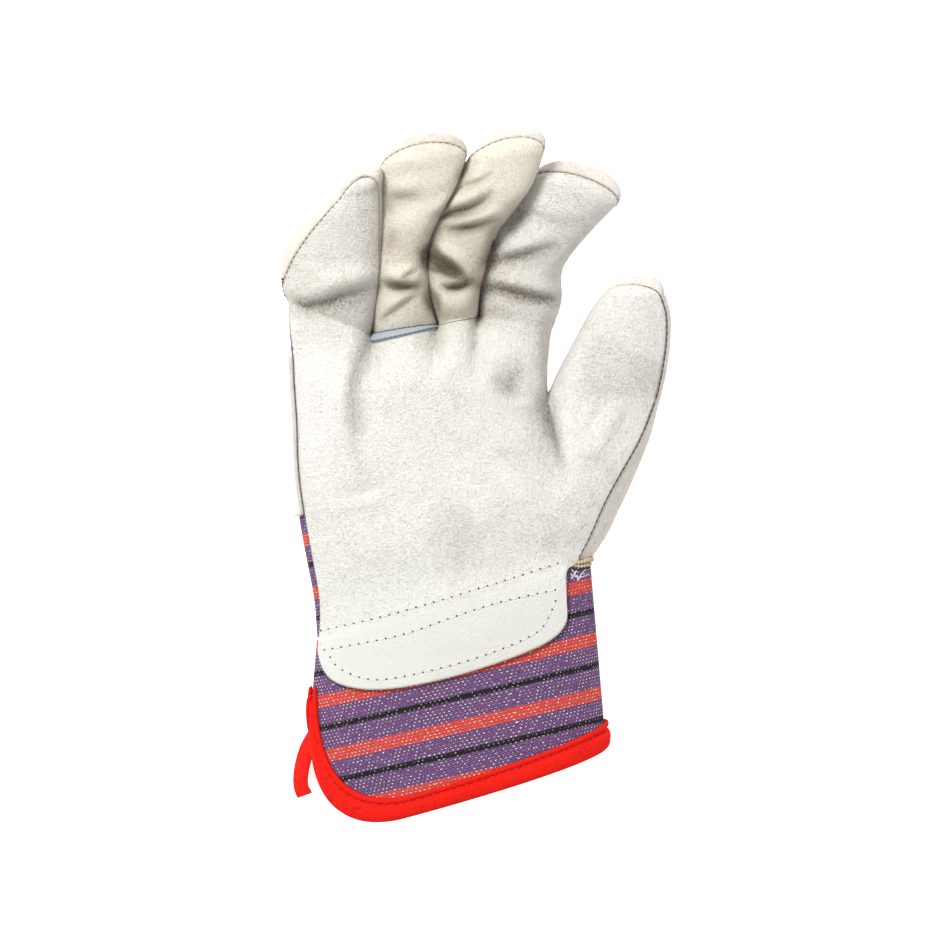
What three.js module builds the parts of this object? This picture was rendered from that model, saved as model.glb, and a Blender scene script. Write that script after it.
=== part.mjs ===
// A right-hand rigger glove lying on its back, palm up and fingers curled.
// Split-leather panels form the palm, finger fronts, fingertips and thumb; striped drill forms
// the back of the hand and the slit safety cuff, which a folded binding edges.
// Units are millimetres: +Y runs along the fingers, +Z out of the palm, and z = 0 is the surface.
import * as THREE from "three";
import { mergeVertices } from "three/addons/utils/BufferGeometryUtils.js";

// Walls and clearances.
const LEATHER = 1.6;
const DRILL = 1.2;
const STRAP = 1.5;
const BINDING_WALL = 1.5;
const WELT = 0.8;
const GAP = 0.45;
const REST = STRAP + GAP;
const COLUMN_GAP = 0.8 * GAP;

// Driving sizes of the hand.
const PALM_WIDTH = 104;
const PALM_LENGTH = 126;
const PALM_DEPTH = 20;
const SEAM_HEIGHT = 18;
const PALM_FULLNESS = 0.7;
const DIGIT_FULLNESS = 0.8;
const WEB_FADE = 36;
const THUMB_FADE = 42;
const FADE_POWER = 1.2;
const FOLD_HEIGHT = 4;

// Driving sizes of the cuff.
const CUFF_TOP_WIDTH = 114;
const CUFF_HEM_WIDTH = 127;
const CUFF_LENGTH = 75;
const CUFF_DEPTH = 16;
const CUFF_FULLNESS = 0.6;
const CUFF_TOP_EASE = 0.8;
const WRIST_SLANT = THREE.MathUtils.degToRad(16.3);
const WRIST_ACROSS = 0.09;
const WRIST_ALONG = -0.57;
const SLIT_ANGLE = THREE.MathUtils.degToRad(12);
const SLIT_START = 0.28;
const CORNER_REACH = THREE.MathUtils.degToRad(60);
const SLIT_TURN = THREE.MathUtils.degToRad(22);
const CORNER_ROUNDNESS = 0.85;
const CORNER_SHARE = 0.5;
const BACK_HEM = 0.96;
const HEM_BOW = 0.06;
const BINDING_WIDTH = 8.5;
const WELT_HEIGHT = 4;

// Angle at which the front and back panels meet, measured from the loop's widest point.
const SIDE_SEAM = THREE.MathUtils.degToRad(18);

// How much of a digit's seam angle its inner edges take.
const LITTLE_INNER_SEAM = 0.3;
const INNER_SEAM = 0.5;

// Where the thumb's panels begin at the wrist, as a share of the way across.
const WRIST_THUMB_SEAM = 0.93;

// Mesh steps.
const FINGER_COLUMNS = 7;
const DIGIT_ROWS = 9;
const DOME_ROWS = 3;
const SETTLE_ROWS = 3;
const CUFF_ROWS = 6;
const CUFF_COLUMNS = 18;
const TAB_ROWS = 4;
const BINDING_START = 3;
const STRAP_FIRST_ROW = 3;
const STRAP_KNUCKLE_ROWS = 3;
const CAP_ROWS = { little: 3, ring: 4, middle: 4 };

// Columns of the hand's grids: four fingers' and then the thumb's.
const STEP = FINGER_COLUMNS + 1;
const FINGERS_END = 4 * STEP - 1;
const THUMB_END = 5 * STEP - 1;

const UP = new THREE.Vector3(0, 0, 1);

// Each digit's length, width, rise and thickness, and its sections as shares of them.
// A section gives its left and right ends along, across and up, then its front and back bulges.
const DIGIT_COLUMNS = ["leftAlong", "leftAcross", "leftUp", "rightAlong", "rightAcross", "rightUp", "front", "back", "seam"];
const DIGITS = {
  little: {
    length: 61, width: 42, rise: 38, depth: 13, lean: 16,
    sections: [
      [0.03, -0.43, -0.09, -0.03, 0.43, 0.09, 1.0, 1.0, 18],
      [0.13, -0.54, -0.01, 0.2, 0.37, 0.3, 1.0, 1.0, 24],
      [0.25, -0.59, 0.14, 0.39, 0.31, 0.48, 0.85, 0.95, 34],
      [0.42, -0.55, 0.32, 0.58, 0.23, 0.64, 0.77, 0.9, 42],
      [0.62, -0.41, 0.53, 0.76, 0.16, 0.79, 0.7, 0.8, 46],
      [0.81, -0.22, 0.74, 0.9, 0.1, 0.92, 0.62, 0.7, 50],
    ],
  },
  ring: {
    length: 76, width: 35, rise: 38, depth: 12, lean: 6,
    sections: [
      [-0.05, -0.37, 0.0, 0.05, 0.37, 0.0, 1.0, 1.08, 0],
      [0.07, -0.36, 0.06, 0.18, 0.18, 0.24, 1.0, 1.0, 0],
      [0.21, -0.34, 0.14, 0.29, 0.12, 0.39, 0.92, 1.0, 0],
      [0.36, -0.32, 0.27, 0.43, 0.11, 0.55, 0.83, 1.0, 0],
      [0.52, -0.31, 0.43, 0.59, 0.22, 0.68, 0.83, 0.9, 0],
      [0.66, -0.32, 0.61, 0.76, 0.4, 0.84, 0.75, 0.8, 10],
      [0.8, -0.4, 0.8, 0.92, 0.49, 0.95, 0.66, 0.75, 20],
    ],
  },
  middle: {
    length: 78, width: 31, rise: 38, depth: 12, lean: 18,
    sections: [
      [-0.05, -0.23, 0.0, 0.05, 0.23, 0.0, 1.0, 1.08, 0],
      [0.06, -0.37, 0.05, 0.17, 0.13, 0.26, 1.0, 1.08, 0],
      [0.21, -0.5, 0.16, 0.31, 0.06, 0.45, 0.92, 1.0, 0],
      [0.36, -0.59, 0.32, 0.46, 0.06, 0.61, 0.92, 1.0, 0],
      [0.51, -0.58, 0.47, 0.61, 0.23, 0.74, 0.83, 0.92, 0],
      [0.64, -0.55, 0.66, 0.76, 0.37, 0.84, 0.75, 0.83, 10],
      [0.77, -0.51, 0.82, 0.92, 0.4, 0.95, 0.66, 0.75, 20],
    ],
  },
  index: {
    length: 67, width: 36, rise: 29, depth: 13, lean: 25,
    sections: [
      [-0.06, -0.41, 0.03, 0.06, 0.41, -0.03, 1.0, 1.0, 0],
      [0.08, -0.47, 0.1, 0.24, 0.36, 0.1, 1.0, 1.0, 0],
      [0.26, -0.54, 0.24, 0.4, 0.22, 0.31, 0.92, 0.92, 0],
      [0.45, -0.6, 0.45, 0.6, 0.29, 0.52, 0.77, 0.85, 6],
      [0.66, -0.56, 0.66, 0.78, 0.4, 0.72, 0.7, 0.77, 12],
      [0.83, -0.51, 0.86, 0.9, 0.49, 0.9, 0.62, 0.7, 20],
    ],
  },
  thumb: {
    length: 50, width: 44, rise: 14, depth: 12, lean: 16,
    sections: [
      [-0.12, -0.51, -0.04, 0.12, 0.51, 0.04, 1.0, 0.92, 30],
      [0.12, -0.47, 0.19, 0.36, 0.49, 0.26, 1.0, 0.92, 32],
      [0.37, -0.41, 0.41, 0.6, 0.44, 0.48, 0.92, 0.83, 32],
      [0.62, -0.35, 0.63, 0.8, 0.36, 0.7, 0.83, 0.75, 32],
      [0.81, -0.26, 0.85, 0.92, 0.25, 0.93, 0.66, 0.66, 32],
    ],
  },
};

// Where the fingers part, as shares of the palm's width and length.
const CROTCH_COLUMNS = ["across", "along"];
const CROTCHES = [
  [-0.223, 0.273],
  [0.031, 0.305],
  [0.185, 0.33],
];

// Rows of the palm as shares of its width, length and depth; seam is the thumb seam's place.
const PALM_COLUMNS = ["leftAcross", "leftAlong", "rightAcross", "rightAlong", "front", "seam"];
const THUMB_BASE_ROWS = [
  [-0.45, -0.57, 0.68, -0.37, 0.82, 0.89],
  [-0.48, -0.44, 0.74, -0.27, 0.92, 0.83],
  [-0.51, -0.3, 0.81, -0.16, 1.0, 0.76],
  [-0.53, -0.16, 0.87, -0.05, 1.05, 0.72],
  [-0.53, -0.02, 0.9, 0.07, 1.05, 0.69],
];
const KNUCKLE_ROWS = [
  [-0.53, -0.02, 0.45, 0.08, 1.1, 1],
  [-0.54, 0.11, 0.45, 0.16, 1.15, 1],
  [-0.54, 0.2, 0.455, 0.2, 1.1, 1],
  [-0.55, 0.29, 0.46, 0.25, 1.0, 1],
  [-0.55, 0.34, 0.465, 0.275, 0.95, 1],
  [-0.55, 0.37, 0.47, 0.29, 0.9, 1],
];

// Main folds, as shares of the palm's width and length, turned by a number of degrees.
const FOLD_COLUMNS = ["across", "along", "turn", "reach", "spread", "height"];
const FOLDS = [
  [-0.28, 0.1, 78, 0.3, 0.05, 0.9],
  [-0.18, 0.06, 80, 0.28, 0.06, -0.8],
  [-0.4, 0.37, 0, 0.12, 0.045, -1.2],
  [0.29, 0.36, -14, 0.12, 0.035, -1.2],
  [0.29, 0.52, 12, 0.12, 0.035, -0.9],
  [0.46, -0.1, -72, 0.16, 0.045, -1.3],
  [0.3, 0.12, 0, 0.09, 0.06, -0.7],
  [0.0, -0.1, 10, 0.2, 0.12, -0.6],
  [-0.25, -0.24, 12, 0.12, 0.03, -0.4],
];

// The palm tab's lower edge: share of the way across the cuff, and down it.
const TAB_COLUMNS = ["across", "along"];
const TAB_EDGE = [
  [0.024, 0.06],
  [0.05, 0.17],
  [0.11, 0.27],
  [0.25, 0.36],
  [0.45, 0.4],
  [0.65, 0.4],
  [0.82, 0.37],
  [0.885, 0.3],
  [0.89, 0.2],
];

// A table row as an object with named values.
function named(columns, row) {
  return Object.fromEntries(columns.map((column, i) => [column, row[i]]));
}

// A smooth value at t of the rows, where t = 0 is the first row and t = 1 the last.
function smoothRow(rows, t) {
  const last = rows.length - 1;
  const place = Math.min(t * last, last - 1e-9);
  const i = Math.floor(place);
  const f = place - i;
  const at = (k) => rows[Math.min(Math.max(k, 0), last)];
  return rows[0].map((_, c) => {
    const [p0, p1, p2, p3] = [at(i - 1)[c], at(i)[c], at(i + 1)[c], at(i + 2)[c]];
    return p1 + 0.5 * f * (p2 - p0 + f * (2 * p0 - 5 * p1 + 4 * p2 - p3 + f * (3 * (p1 - p2) + p3 - p0)));
  });
}

// The height that the folds add to the front at x and y.
function foldHeight(x, y) {
  let height = 0;
  for (const row of FOLDS) {
    const fold = named(FOLD_COLUMNS, row);
    const turn = THREE.MathUtils.degToRad(fold.turn);
    const dx = x - fold.across * PALM_WIDTH;
    const dy = y - fold.along * PALM_LENGTH;
    const along = (dx * Math.cos(turn) + dy * Math.sin(turn)) / (fold.reach * PALM_WIDTH);
    const off = (dy * Math.cos(turn) - dx * Math.sin(turn)) / (fold.spread * PALM_WIDTH);
    height += fold.height * FOLD_HEIGHT * Math.exp(-off * off - along ** 4);
  }
  return height;
}

// A point of a flattened loop: angle 0 is its left end, positive angles go over the front.
// grow moves the point outwards, and nothing goes below the surface that the glove lies on.
function loopPoint(loop, angle, grow, side) {
  const across = loop.right.clone().sub(loop.left).normalize();
  const left = loop.left.clone().addScaledVector(across, -grow);
  const right = loop.right.clone().addScaledVector(across, grow);
  const rise = Math.abs(Math.sin(angle)) ** loop.fullness;
  const front = Math.sin(angle) >= 0;
  const bulge = front ? loop.front + grow : -(loop.back + grow);
  const point = left.lerp(right, (1 - Math.cos(angle)) / 2);
  const fold = loop.folded && front ? foldHeight(point.x, point.y) : 0;
  point.addScaledVector(loop.normal, rise * (bulge + fold) + (side * GAP) / 2);
  point.z = Math.max(point.z, REST - grow);
  return point;
}

// The loop angle at a share of the panel, from its left seam to its right seam.
function panelAngle(side, share, leftSeam, rightSeam) {
  return side > 0
    ? leftSeam + (Math.PI - leftSeam - rightSeam) * share
    : leftSeam - (Math.PI + leftSeam + rightSeam) * share;
}

// The cuff's loop at a share of its length.
function cuffLoop(along) {
  const half = THREE.MathUtils.lerp(CUFF_TOP_WIDTH, CUFF_HEM_WIDTH, along) / 2;
  const centre = new THREE.Vector3(
    WRIST_ACROSS * PALM_WIDTH,
    WRIST_ALONG * PALM_LENGTH - along * CUFF_LENGTH,
    SEAM_HEIGHT,
  );
  const across = new THREE.Vector3(Math.cos(WRIST_SLANT), Math.sin(WRIST_SLANT), 0);
  return {
    left: centre.clone().addScaledVector(across, -half),
    right: centre.clone().addScaledVector(across, half),
    normal: UP,
    front: CUFF_DEPTH,
    back: CUFF_DEPTH + REST,
    fullness: CUFF_FULLNESS,
    folded: false,
  };
}

// A palm row's loop.
function palmLoop(row) {
  const place = (across, along) => new THREE.Vector3(across * PALM_WIDTH, along * PALM_LENGTH, SEAM_HEIGHT);
  return {
    left: place(row.leftAcross, row.leftAlong),
    right: place(row.rightAcross, row.rightAlong),
    normal: UP,
    front: PALM_DEPTH * row.front,
    back: PALM_DEPTH,
    fullness: PALM_FULLNESS,
    folded: true,
  };
}

// Where each digit leaves the palm: its left and right ends, half a gap inside the crotches.
function digitRoots() {
  const top = palmLoop(named(PALM_COLUMNS, KNUCKLE_ROWS.at(-1)));
  const base = palmLoop(named(PALM_COLUMNS, THUMB_BASE_ROWS.at(-1)));
  const web = palmLoop(named(PALM_COLUMNS, KNUCKLE_ROWS[0]));
  const crotches = CROTCHES.map((row) => {
    const crotch = named(CROTCH_COLUMNS, row);
    return new THREE.Vector3(crotch.across * PALM_WIDTH, crotch.along * PALM_LENGTH, SEAM_HEIGHT);
  });
  const ends = [top.left, ...crotches, top.right];
  const inset = new THREE.Vector3(GAP / 2, 0, 0);
  const roots = {};
  ["little", "ring", "middle", "index"].forEach((name, i) => {
    roots[name] = {
      left: i === 0 ? ends[i].clone() : ends[i].clone().add(inset),
      right: i === 3 ? ends[i + 1].clone() : ends[i + 1].clone().sub(inset),
    };
  });
  roots.thumb = { left: web.right.clone().add(inset).add(inset), right: base.right.clone() };
  return roots;
}

const ROOTS = digitRoots();

// The loops of a digit from its root to where its tip begins, and the tip's point.
function digitLoops(name) {
  const digit = DIGITS[name];
  const root = ROOTS[name];
  const lean = THREE.MathUtils.degToRad(digit.lean);
  const along = new THREE.Vector3(Math.sin(lean), Math.cos(lean), 0);
  const across = new THREE.Vector3(Math.cos(lean), -Math.sin(lean), 0);
  const middle = root.left.clone().add(root.right).multiplyScalar(0.5);
  const place = (a, c, u) =>
    middle
      .clone()
      .addScaledVector(along, a * digit.length)
      .addScaledVector(across, c * digit.width)
      .addScaledVector(UP, u * digit.rise);
  const loops = [];
  for (let i = 0; i <= DIGIT_ROWS; i++) {
    const row = named(DIGIT_COLUMNS, smoothRow(digit.sections, i / DIGIT_ROWS));
    loops.push({
      left: place(row.leftAlong, row.leftAcross, row.leftUp),
      right: place(row.rightAlong, row.rightAcross, row.rightUp),
      front: row.front * digit.depth,
      back: row.back * digit.depth,
      fullness: DIGIT_FULLNESS,
      folded: true,
      seam: THREE.MathUtils.degToRad(row.seam),
    });
  }
  loops[0].left.copy(root.left);
  loops[0].right.copy(root.right);
  loops.forEach((loop, i) => {
    const before = loops[Math.max(i - 1, 0)];
    const after = loops[Math.min(i + 1, DIGIT_ROWS)];
    const forward = after.left.clone().add(after.right).sub(before.left).sub(before.right);
    const side = loop.right.clone().sub(loop.left);
    const settle = Math.min(i / SETTLE_ROWS, 1);
    loop.normal = UP.clone().lerp(side.cross(forward).normalize(), settle).normalize();
  });
  return { loops, tip: place(1, 0, 1), tipAlong: along.clone().add(UP).normalize() };
}

const LOOPS = Object.fromEntries(Object.keys(DIGITS).map((name) => [name, digitLoops(name)]));

// The seam angle on each edge of a digit: only an outer edge has the seam on its front.
function digitSeams(name, seam) {
  if (name === "little") return [seam, LITTLE_INNER_SEAM * (seam - SIDE_SEAM)];
  if (name === "thumb") return [0, seam];
  return [INNER_SEAM * seam, INNER_SEAM * seam];
}

// One row of a digit's panel.
function digitRow(name, loop, side, grow) {
  const [leftSeam, rightSeam] = digitSeams(name, loop.seam);
  return Array.from({ length: FINGER_COLUMNS + 1 }, (_, j) =>
    loopPoint(loop, panelAngle(side, j / FINGER_COLUMNS, leftSeam, rightSeam), grow, side),
  );
}

// A digit's front or back panel from its root to its tip, where all columns meet.
function digitPanel(name, side, grow) {
  const { loops, tip, tipAlong } = LOOPS[name];
  const rows = loops.map((loop) => digitRow(name, loop, side, grow));
  const last = loops.at(-1);
  const edge = rows.at(-1);
  const centre = last.left.clone().add(last.right).multiplyScalar(0.5);
  const point = tip.clone().addScaledVector(tipAlong, grow);
  const lift = last.normal.clone().multiplyScalar((side * GAP) / 2);
  centre.add(lift);
  point.add(lift);
  for (let k = 1; k <= DOME_ROWS; k++) {
    const turn = (k / DOME_ROWS) * (Math.PI / 2);
    const middle = centre.clone().lerp(point, Math.sin(turn));
    rows.push(edge.map((p) => middle.clone().addScaledVector(p.clone().sub(centre), Math.cos(turn))));
  }
  rows[rows.length - 1] = edge.map(() => point.clone());
  return rows;
}

// The shares along a panel of each digit's columns, given where the digits meet.
// Neighbouring digits' columns stay a gap apart.
function columnShares(bounds) {
  const half = COLUMN_GAP / PALM_WIDTH;
  const last = bounds.length - 2;
  const shares = [];
  for (let k = 0; k <= last; k++) {
    const start = bounds[k] + (k > 0 ? half : 0);
    const end = bounds[k + 1] - (k < last ? half : 0);
    for (let j = 0; j <= FINGER_COLUMNS; j++) shares.push(THREE.MathUtils.lerp(start, end, j / FINGER_COLUMNS));
  }
  return shares;
}

// The share along a panel at which the loop angle has a size, as panelAngle gives it.
function panelShare(side, angle, leftSeam, rightSeam) {
  return (angle - side * leftSeam) / (Math.PI - side * (leftSeam + rightSeam));
}

// Where the fingers meet along the palm's panel, from 0 at the left seam to 1 at the right.
function fingerBounds(side) {
  const top = palmLoop(named(PALM_COLUMNS, KNUCKLE_ROWS.at(-1)));
  const width = top.right.x - top.left.x;
  const angles = CROTCHES.map(([across]) => Math.acos(1 - (2 * (across * PALM_WIDTH - top.left.x)) / width));
  return [0, ...angles.map((angle) => panelShare(side, angle, SIDE_SEAM, 0)), 1];
}

// A block of rows whose last row is bent to meet a target row, fading over a distance.
function bentBlock(rows, target, fade, grow) {
  const last = rows.at(-1);
  const middle = (row) => row[0].clone().add(row.at(-1)).multiplyScalar(0.5);
  const end = middle(last);
  return rows.map((row) => {
    const distance = Math.hypot(middle(row).x - end.x, middle(row).y - end.y);
    const weight = Math.max(0, 1 - distance / fade) ** FADE_POWER;
    return row.map((p, j) => {
      const bent = p.clone().addScaledVector(target[j].clone().sub(last[j]), weight);
      bent.z = Math.max(bent.z, REST - grow);
      return bent;
    });
  });
}

// The palm from the thumb's crotch to the finger roots.
function knucklePanel(side, grow) {
  const shares = columnShares(fingerBounds(side));
  const rows = KNUCKLE_ROWS.map((values) => {
    const loop = palmLoop(named(PALM_COLUMNS, values));
    return shares.map((share) => loopPoint(loop, panelAngle(side, share, SIDE_SEAM, 0), grow, side));
  });
  const target = ["little", "ring", "middle", "index"].flatMap((name) => digitPanel(name, side, grow)[0]);
  return bentBlock(rows, target, WEB_FADE, grow);
}

// The palm and the thumb's base, from the wrist to the thumb's crotch.
function thumbBasePanel(side, grow) {
  const wrist = cuffLoop(0);
  const loops = [wrist, ...THUMB_BASE_ROWS.map((values) => palmLoop(named(PALM_COLUMNS, values)))];
  const seams = [WRIST_THUMB_SEAM, ...THUMB_BASE_ROWS.map((values) => named(PALM_COLUMNS, values).seam)];
  const rows = loops.map((loop, i) => {
    const extra = i === 0 ? LEATHER + GAP : 0;
    const rightSeam = digitSeams("thumb", LOOPS.thumb.loops[0].seam)[1];
    const seamAngle = Math.acos(1 - 2 * seams[i]);
    const seamShare = panelShare(side, seamAngle, SIDE_SEAM, rightSeam);
    const bounds = [...fingerBounds(side).map((bound) => bound * seamShare), 1];
    return columnShares(bounds).map((share) =>
      loopPoint(loop, panelAngle(side, share, SIDE_SEAM, rightSeam), grow + extra, side),
    );
  });
  const target = [...knucklePanel(side, grow)[0], ...digitPanel("thumb", side, grow)[0]];
  return bentBlock(rows, target, THUMB_FADE, grow);
}

// The columns from first to last of a grid's rows.
function columns(grid, first, last) {
  return grid.map((row) => row.slice(first, last + 1));
}

// A grid with its first row moved a distance towards the second.
function trimFirstRow(grid, distance) {
  const [first, second, ...rest] = grid;
  const moved = first.map((p, j) => {
    const step = second[j].clone().sub(p);
    return p.clone().addScaledVector(step, Math.min(distance / (step.length() + 1e-6), 0.5));
  });
  return [moved, second, ...rest];
}

// A closed wall made of patches, each with an outer and an inner grid of the same size.
class Wall {
  // Starts with no corners and no faces.
  constructor() {
    this.pairs = new Map();
    this.points = [];
    this.faces = [];
  }

  // The number of the corner where an outer and an inner point face each other.
  corner(outer, inner) {
    const key = [...outer, ...inner].map((v) => v.toFixed(3)).join();
    if (!this.pairs.has(key)) {
      this.pairs.set(key, this.points.length);
      this.points.push([outer, inner]);
    }
    return this.pairs.get(key);
  }

  // Adds a patch; flip is for a grid whose rows and columns turn the other way.
  add(outer, inner, flip = false) {
    const ids = outer.map((row, i) => row.map((p, j) => this.corner(p, inner[i][j])));
    for (let i = 0; i + 1 < ids.length; i++) {
      for (let j = 0; j + 1 < ids[0].length; j++) {
        const quad = [ids[i][j], ids[i][j + 1], ids[i + 1][j + 1], ids[i + 1][j]];
        if (flip) quad.reverse();
        this.faces.push([quad[0], quad[1], quad[2]], [quad[0], quad[2], quad[3]]);
      }
    }
    return this;
  }

  // The closed geometry: both skins, and a strip along every open edge.
  geometry() {
    const faces = this.faces.filter(([a, b, c]) => a !== b && b !== c && c !== a);
    const edges = new Set();
    faces.forEach(([a, b, c]) => [[a, b], [b, c], [c, a]].forEach(([p, q]) => edges.add(`${p},${q}`)));
    const positions = [];
    const push = (...corners) => corners.forEach((p) => positions.push(p.x, p.y, p.z));
    faces.forEach(([a, b, c]) => {
      push(this.points[a][0], this.points[b][0], this.points[c][0]);
      push(this.points[c][1], this.points[b][1], this.points[a][1]);
    });
    edges.forEach((edge) => {
      const [a, b] = edge.split(",").map(Number);
      if (edges.has(`${b},${a}`)) return;
      push(this.points[b][0], this.points[a][0], this.points[a][1]);
      push(this.points[b][0], this.points[a][1], this.points[b][1]);
    });
    return closedGeometry(positions);
  }
}

// Triangle corners as a geometry with shared vertices and no empty triangles.
function closedGeometry(positions) {
  const loose = new THREE.BufferGeometry();
  loose.setAttribute("position", new THREE.Float32BufferAttribute(positions, 3));
  const merged = mergeVertices(loose, 1e-2);
  const kept = [];
  const index = merged.index.array;
  for (let i = 0; i < index.length; i += 3) {
    const [a, b, c] = [index[i], index[i + 1], index[i + 2]];
    if (a !== b && b !== c && c !== a) kept.push(a, b, c);
  }
  merged.setIndex(kept);
  merged.computeVertexNormals();
  return merged;
}

// Adds the outer and inner grids that a function of grow makes.
function addPatch(wall, side, thickness, make) {
  return wall.add(make(0), make(-thickness), side < 0);
}

// The tab's grid: its top row is the palm's wrist row, its bottom row the rounded edge.
function tabPanel(grow) {
  const wristRow = thumbBasePanel(1, grow)[0];
  const top = wristRow.slice(0, tabLast() + 1);
  const rows = [top];
  for (let i = 1; i <= TAB_ROWS; i++) {
    rows.push(
      top.map((_, j) => {
        const [across, along] = smoothRow(TAB_EDGE, j / (top.length - 1));
        const startAngle = wristAngle(j);
        const endAngle = Math.acos(1 - 2 * across);
        const share = i / TAB_ROWS;
        const angle = THREE.MathUtils.lerp(startAngle, endAngle, share);
        return loopPoint(cuffLoop(along * share), angle, grow + LEATHER + GAP, 1);
      }),
    );
  }
  return rows;
}

// The wrist row's loop angle at a column of the palm.
function wristAngle(column) {
  const seamAngle = Math.acos(1 - 2 * WRIST_THUMB_SEAM);
  const share = columnShares(fingerBounds(1))[column];
  return SIDE_SEAM + (seamAngle - SIDE_SEAM) * share;
}

// The last palm column that the tab hangs from.
function tabLast() {
  const edge = Math.acos(1 - 2 * TAB_EDGE.at(-1)[0]);
  let column = FINGERS_END;
  while (wristAngle(column) > edge) column--;
  return column;
}

// The palm: the tab, the palm itself and the fronts of the little finger, index finger and thumb.
function palmWall() {
  const wall = new Wall();
  wall.add(tabPanel(0), tabPanel(-LEATHER), true);
  addPatch(wall, 1, LEATHER, (grow) => thumbBasePanel(1, grow));
  addPatch(wall, 1, LEATHER, (grow) => knucklePanel(1, grow).slice(0, -1));
  addPatch(wall, 1, LEATHER, (grow) => columns(knucklePanel(1, grow).slice(-2), 0, STEP - 1));
  addPatch(wall, 1, LEATHER, (grow) => columns(knucklePanel(1, grow).slice(-2), 3 * STEP, FINGERS_END));
  addPatch(wall, 1, LEATHER, (grow) => digitPanel("little", 1, grow));
  addPatch(wall, 1, LEATHER, (grow) => digitPanel("index", 1, grow));
  addPatch(wall, 1, LEATHER, (grow) => digitPanel("thumb", 1, grow));
  return wall;
}

// The one piece that fronts the ring and middle fingers, joined below their crotch.
function twoFingerWall() {
  const wall = new Wall();
  addPatch(wall, 1, LEATHER, (grow) => {
    const strip = columns(knucklePanel(1, grow).slice(-2), STEP, 3 * STEP - 1);
    return trimFirstRow(strip, 2 * GAP);
  });
  addPatch(wall, 1, LEATHER, (grow) => digitPanel("ring", 1, grow));
  addPatch(wall, 1, LEATHER, (grow) => digitPanel("middle", 1, grow));
  return wall;
}

// The striped back of the hand, up to where each leather fingertip begins.
function backWall() {
  const wall = new Wall();
  addPatch(wall, -1, DRILL, (grow) => trimFirstRow(columns(thumbBasePanel(-1, grow), 0, FINGERS_END), GAP));
  addPatch(wall, -1, DRILL, (grow) => knucklePanel(-1, grow));
  for (const [name, row] of Object.entries(CAP_ROWS)) {
    addPatch(wall, -1, DRILL, (grow) => digitPanel(name, -1, grow).slice(0, row + 1));
  }
  return wall;
}

// The thumb's back, with its share of the hand's side.
function thumbBackWall() {
  const wall = new Wall();
  addPatch(wall, -1, LEATHER, (grow) => trimFirstRow(columns(thumbBasePanel(-1, grow), 4 * STEP, THUMB_END), GAP));
  addPatch(wall, -1, LEATHER, (grow) => digitPanel("thumb", -1, grow));
  return wall;
}

// The leather on a finger's back from a row to its tip.
function fingerBackWall(name, firstRow) {
  const wall = new Wall();
  addPatch(wall, -1, LEATHER, (grow) => trimFirstRow(digitPanel(name, -1, grow).slice(firstRow), GAP));
  return wall;
}

// The strap across the knuckles, outside the striped back.
function strapWall() {
  const outer = strapGrid(GAP + STRAP);
  const inner = strapGrid(GAP);
  return new Wall().add(outer, inner, true);
}

// The strap's grid, a column inside the seam on each side.
function strapGrid(grow) {
  const low = columns(thumbBasePanel(-1, grow), 0, FINGERS_END).slice(STRAP_FIRST_ROW, -1);
  const high = knucklePanel(-1, grow).slice(0, STRAP_KNUCKLE_ROWS);
  return [...low, ...high].map((row) => row.slice(1, -1));
}

// The welt over the palm's edge at the root of the ring finger.
function weltWall() {
  const make = (grow) => {
    const [low, high] = columns(knucklePanel(1, grow).slice(-3, -1), STEP + 1, 2 * STEP - 2);
    return [WELT_HEIGHT, GAP].map((below) => high.map((p, j) => p.clone().add(low[j].clone().sub(p).setLength(below))));
  };
  return new Wall().add(make(GAP + WELT), make(GAP));
}

// The cuff's edge at a share from the slit: its angle and its share of the cuff's length.
// It runs down the slit, round the corner and along the hem to the far side.
function cuffEdge(side, share) {
  const turn = Math.min(share / CORNER_SHARE, 1) * (Math.PI / 2);
  const straight = Math.max(share - CORNER_SHARE, 0) / (1 - CORNER_SHARE);
  const aside = side > 0 ? 0 : 2 * SLIT_ANGLE * Math.min(turn / SLIT_TURN, 1);
  const reach = Math.PI - side * SLIT_ANGLE;
  const corner = aside + CORNER_REACH * (1 - Math.cos(turn)) ** CORNER_ROUNDNESS;
  const spread = THREE.MathUtils.lerp(corner, reach, straight);
  const hem = side > 0 ? 1 + HEM_BOW * Math.sin(SLIT_ANGLE + spread) : THREE.MathUtils.lerp(BACK_HEM, 1, straight);
  return { angle: SLIT_ANGLE + side * spread, along: SLIT_START + (hem - SLIT_START) * Math.sin(turn) };
}

// A point of the cuff: column 0 runs down to the top of the slit, the last down the far side.
function cuffGridPoint(side, column, down, grow) {
  const share = column / CUFF_COLUMNS;
  const edge = cuffEdge(side, share);
  const reach = Math.PI - side * SLIT_ANGLE;
  const topAngle = SLIT_ANGLE + side * reach * share ** CUFF_TOP_EASE;
  const angle = THREE.MathUtils.lerp(topAngle, edge.angle, down);
  return loopPoint(cuffLoop(THREE.MathUtils.lerp(GAP / CUFF_LENGTH, edge.along, down)), angle, grow, 0);
}

// The cuff's front or back grid, from the wrist to its edge.
function cuffPanel(side, grow) {
  return Array.from({ length: CUFF_ROWS + 1 }, (_, i) => {
    const row = Array.from({ length: CUFF_COLUMNS + 1 }, (_, j) => cuffGridPoint(side, j, i / CUFF_ROWS, grow));
    return side > 0 ? row : row.reverse();
  });
}

// The striped cuff, front and back, joined along the far side and above the slit.
function cuffWall() {
  const wall = new Wall();
  for (const side of [1, -1]) wall.add(cuffPanel(side, 0), cuffPanel(side, -DRILL), true);
  return wall;
}

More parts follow.
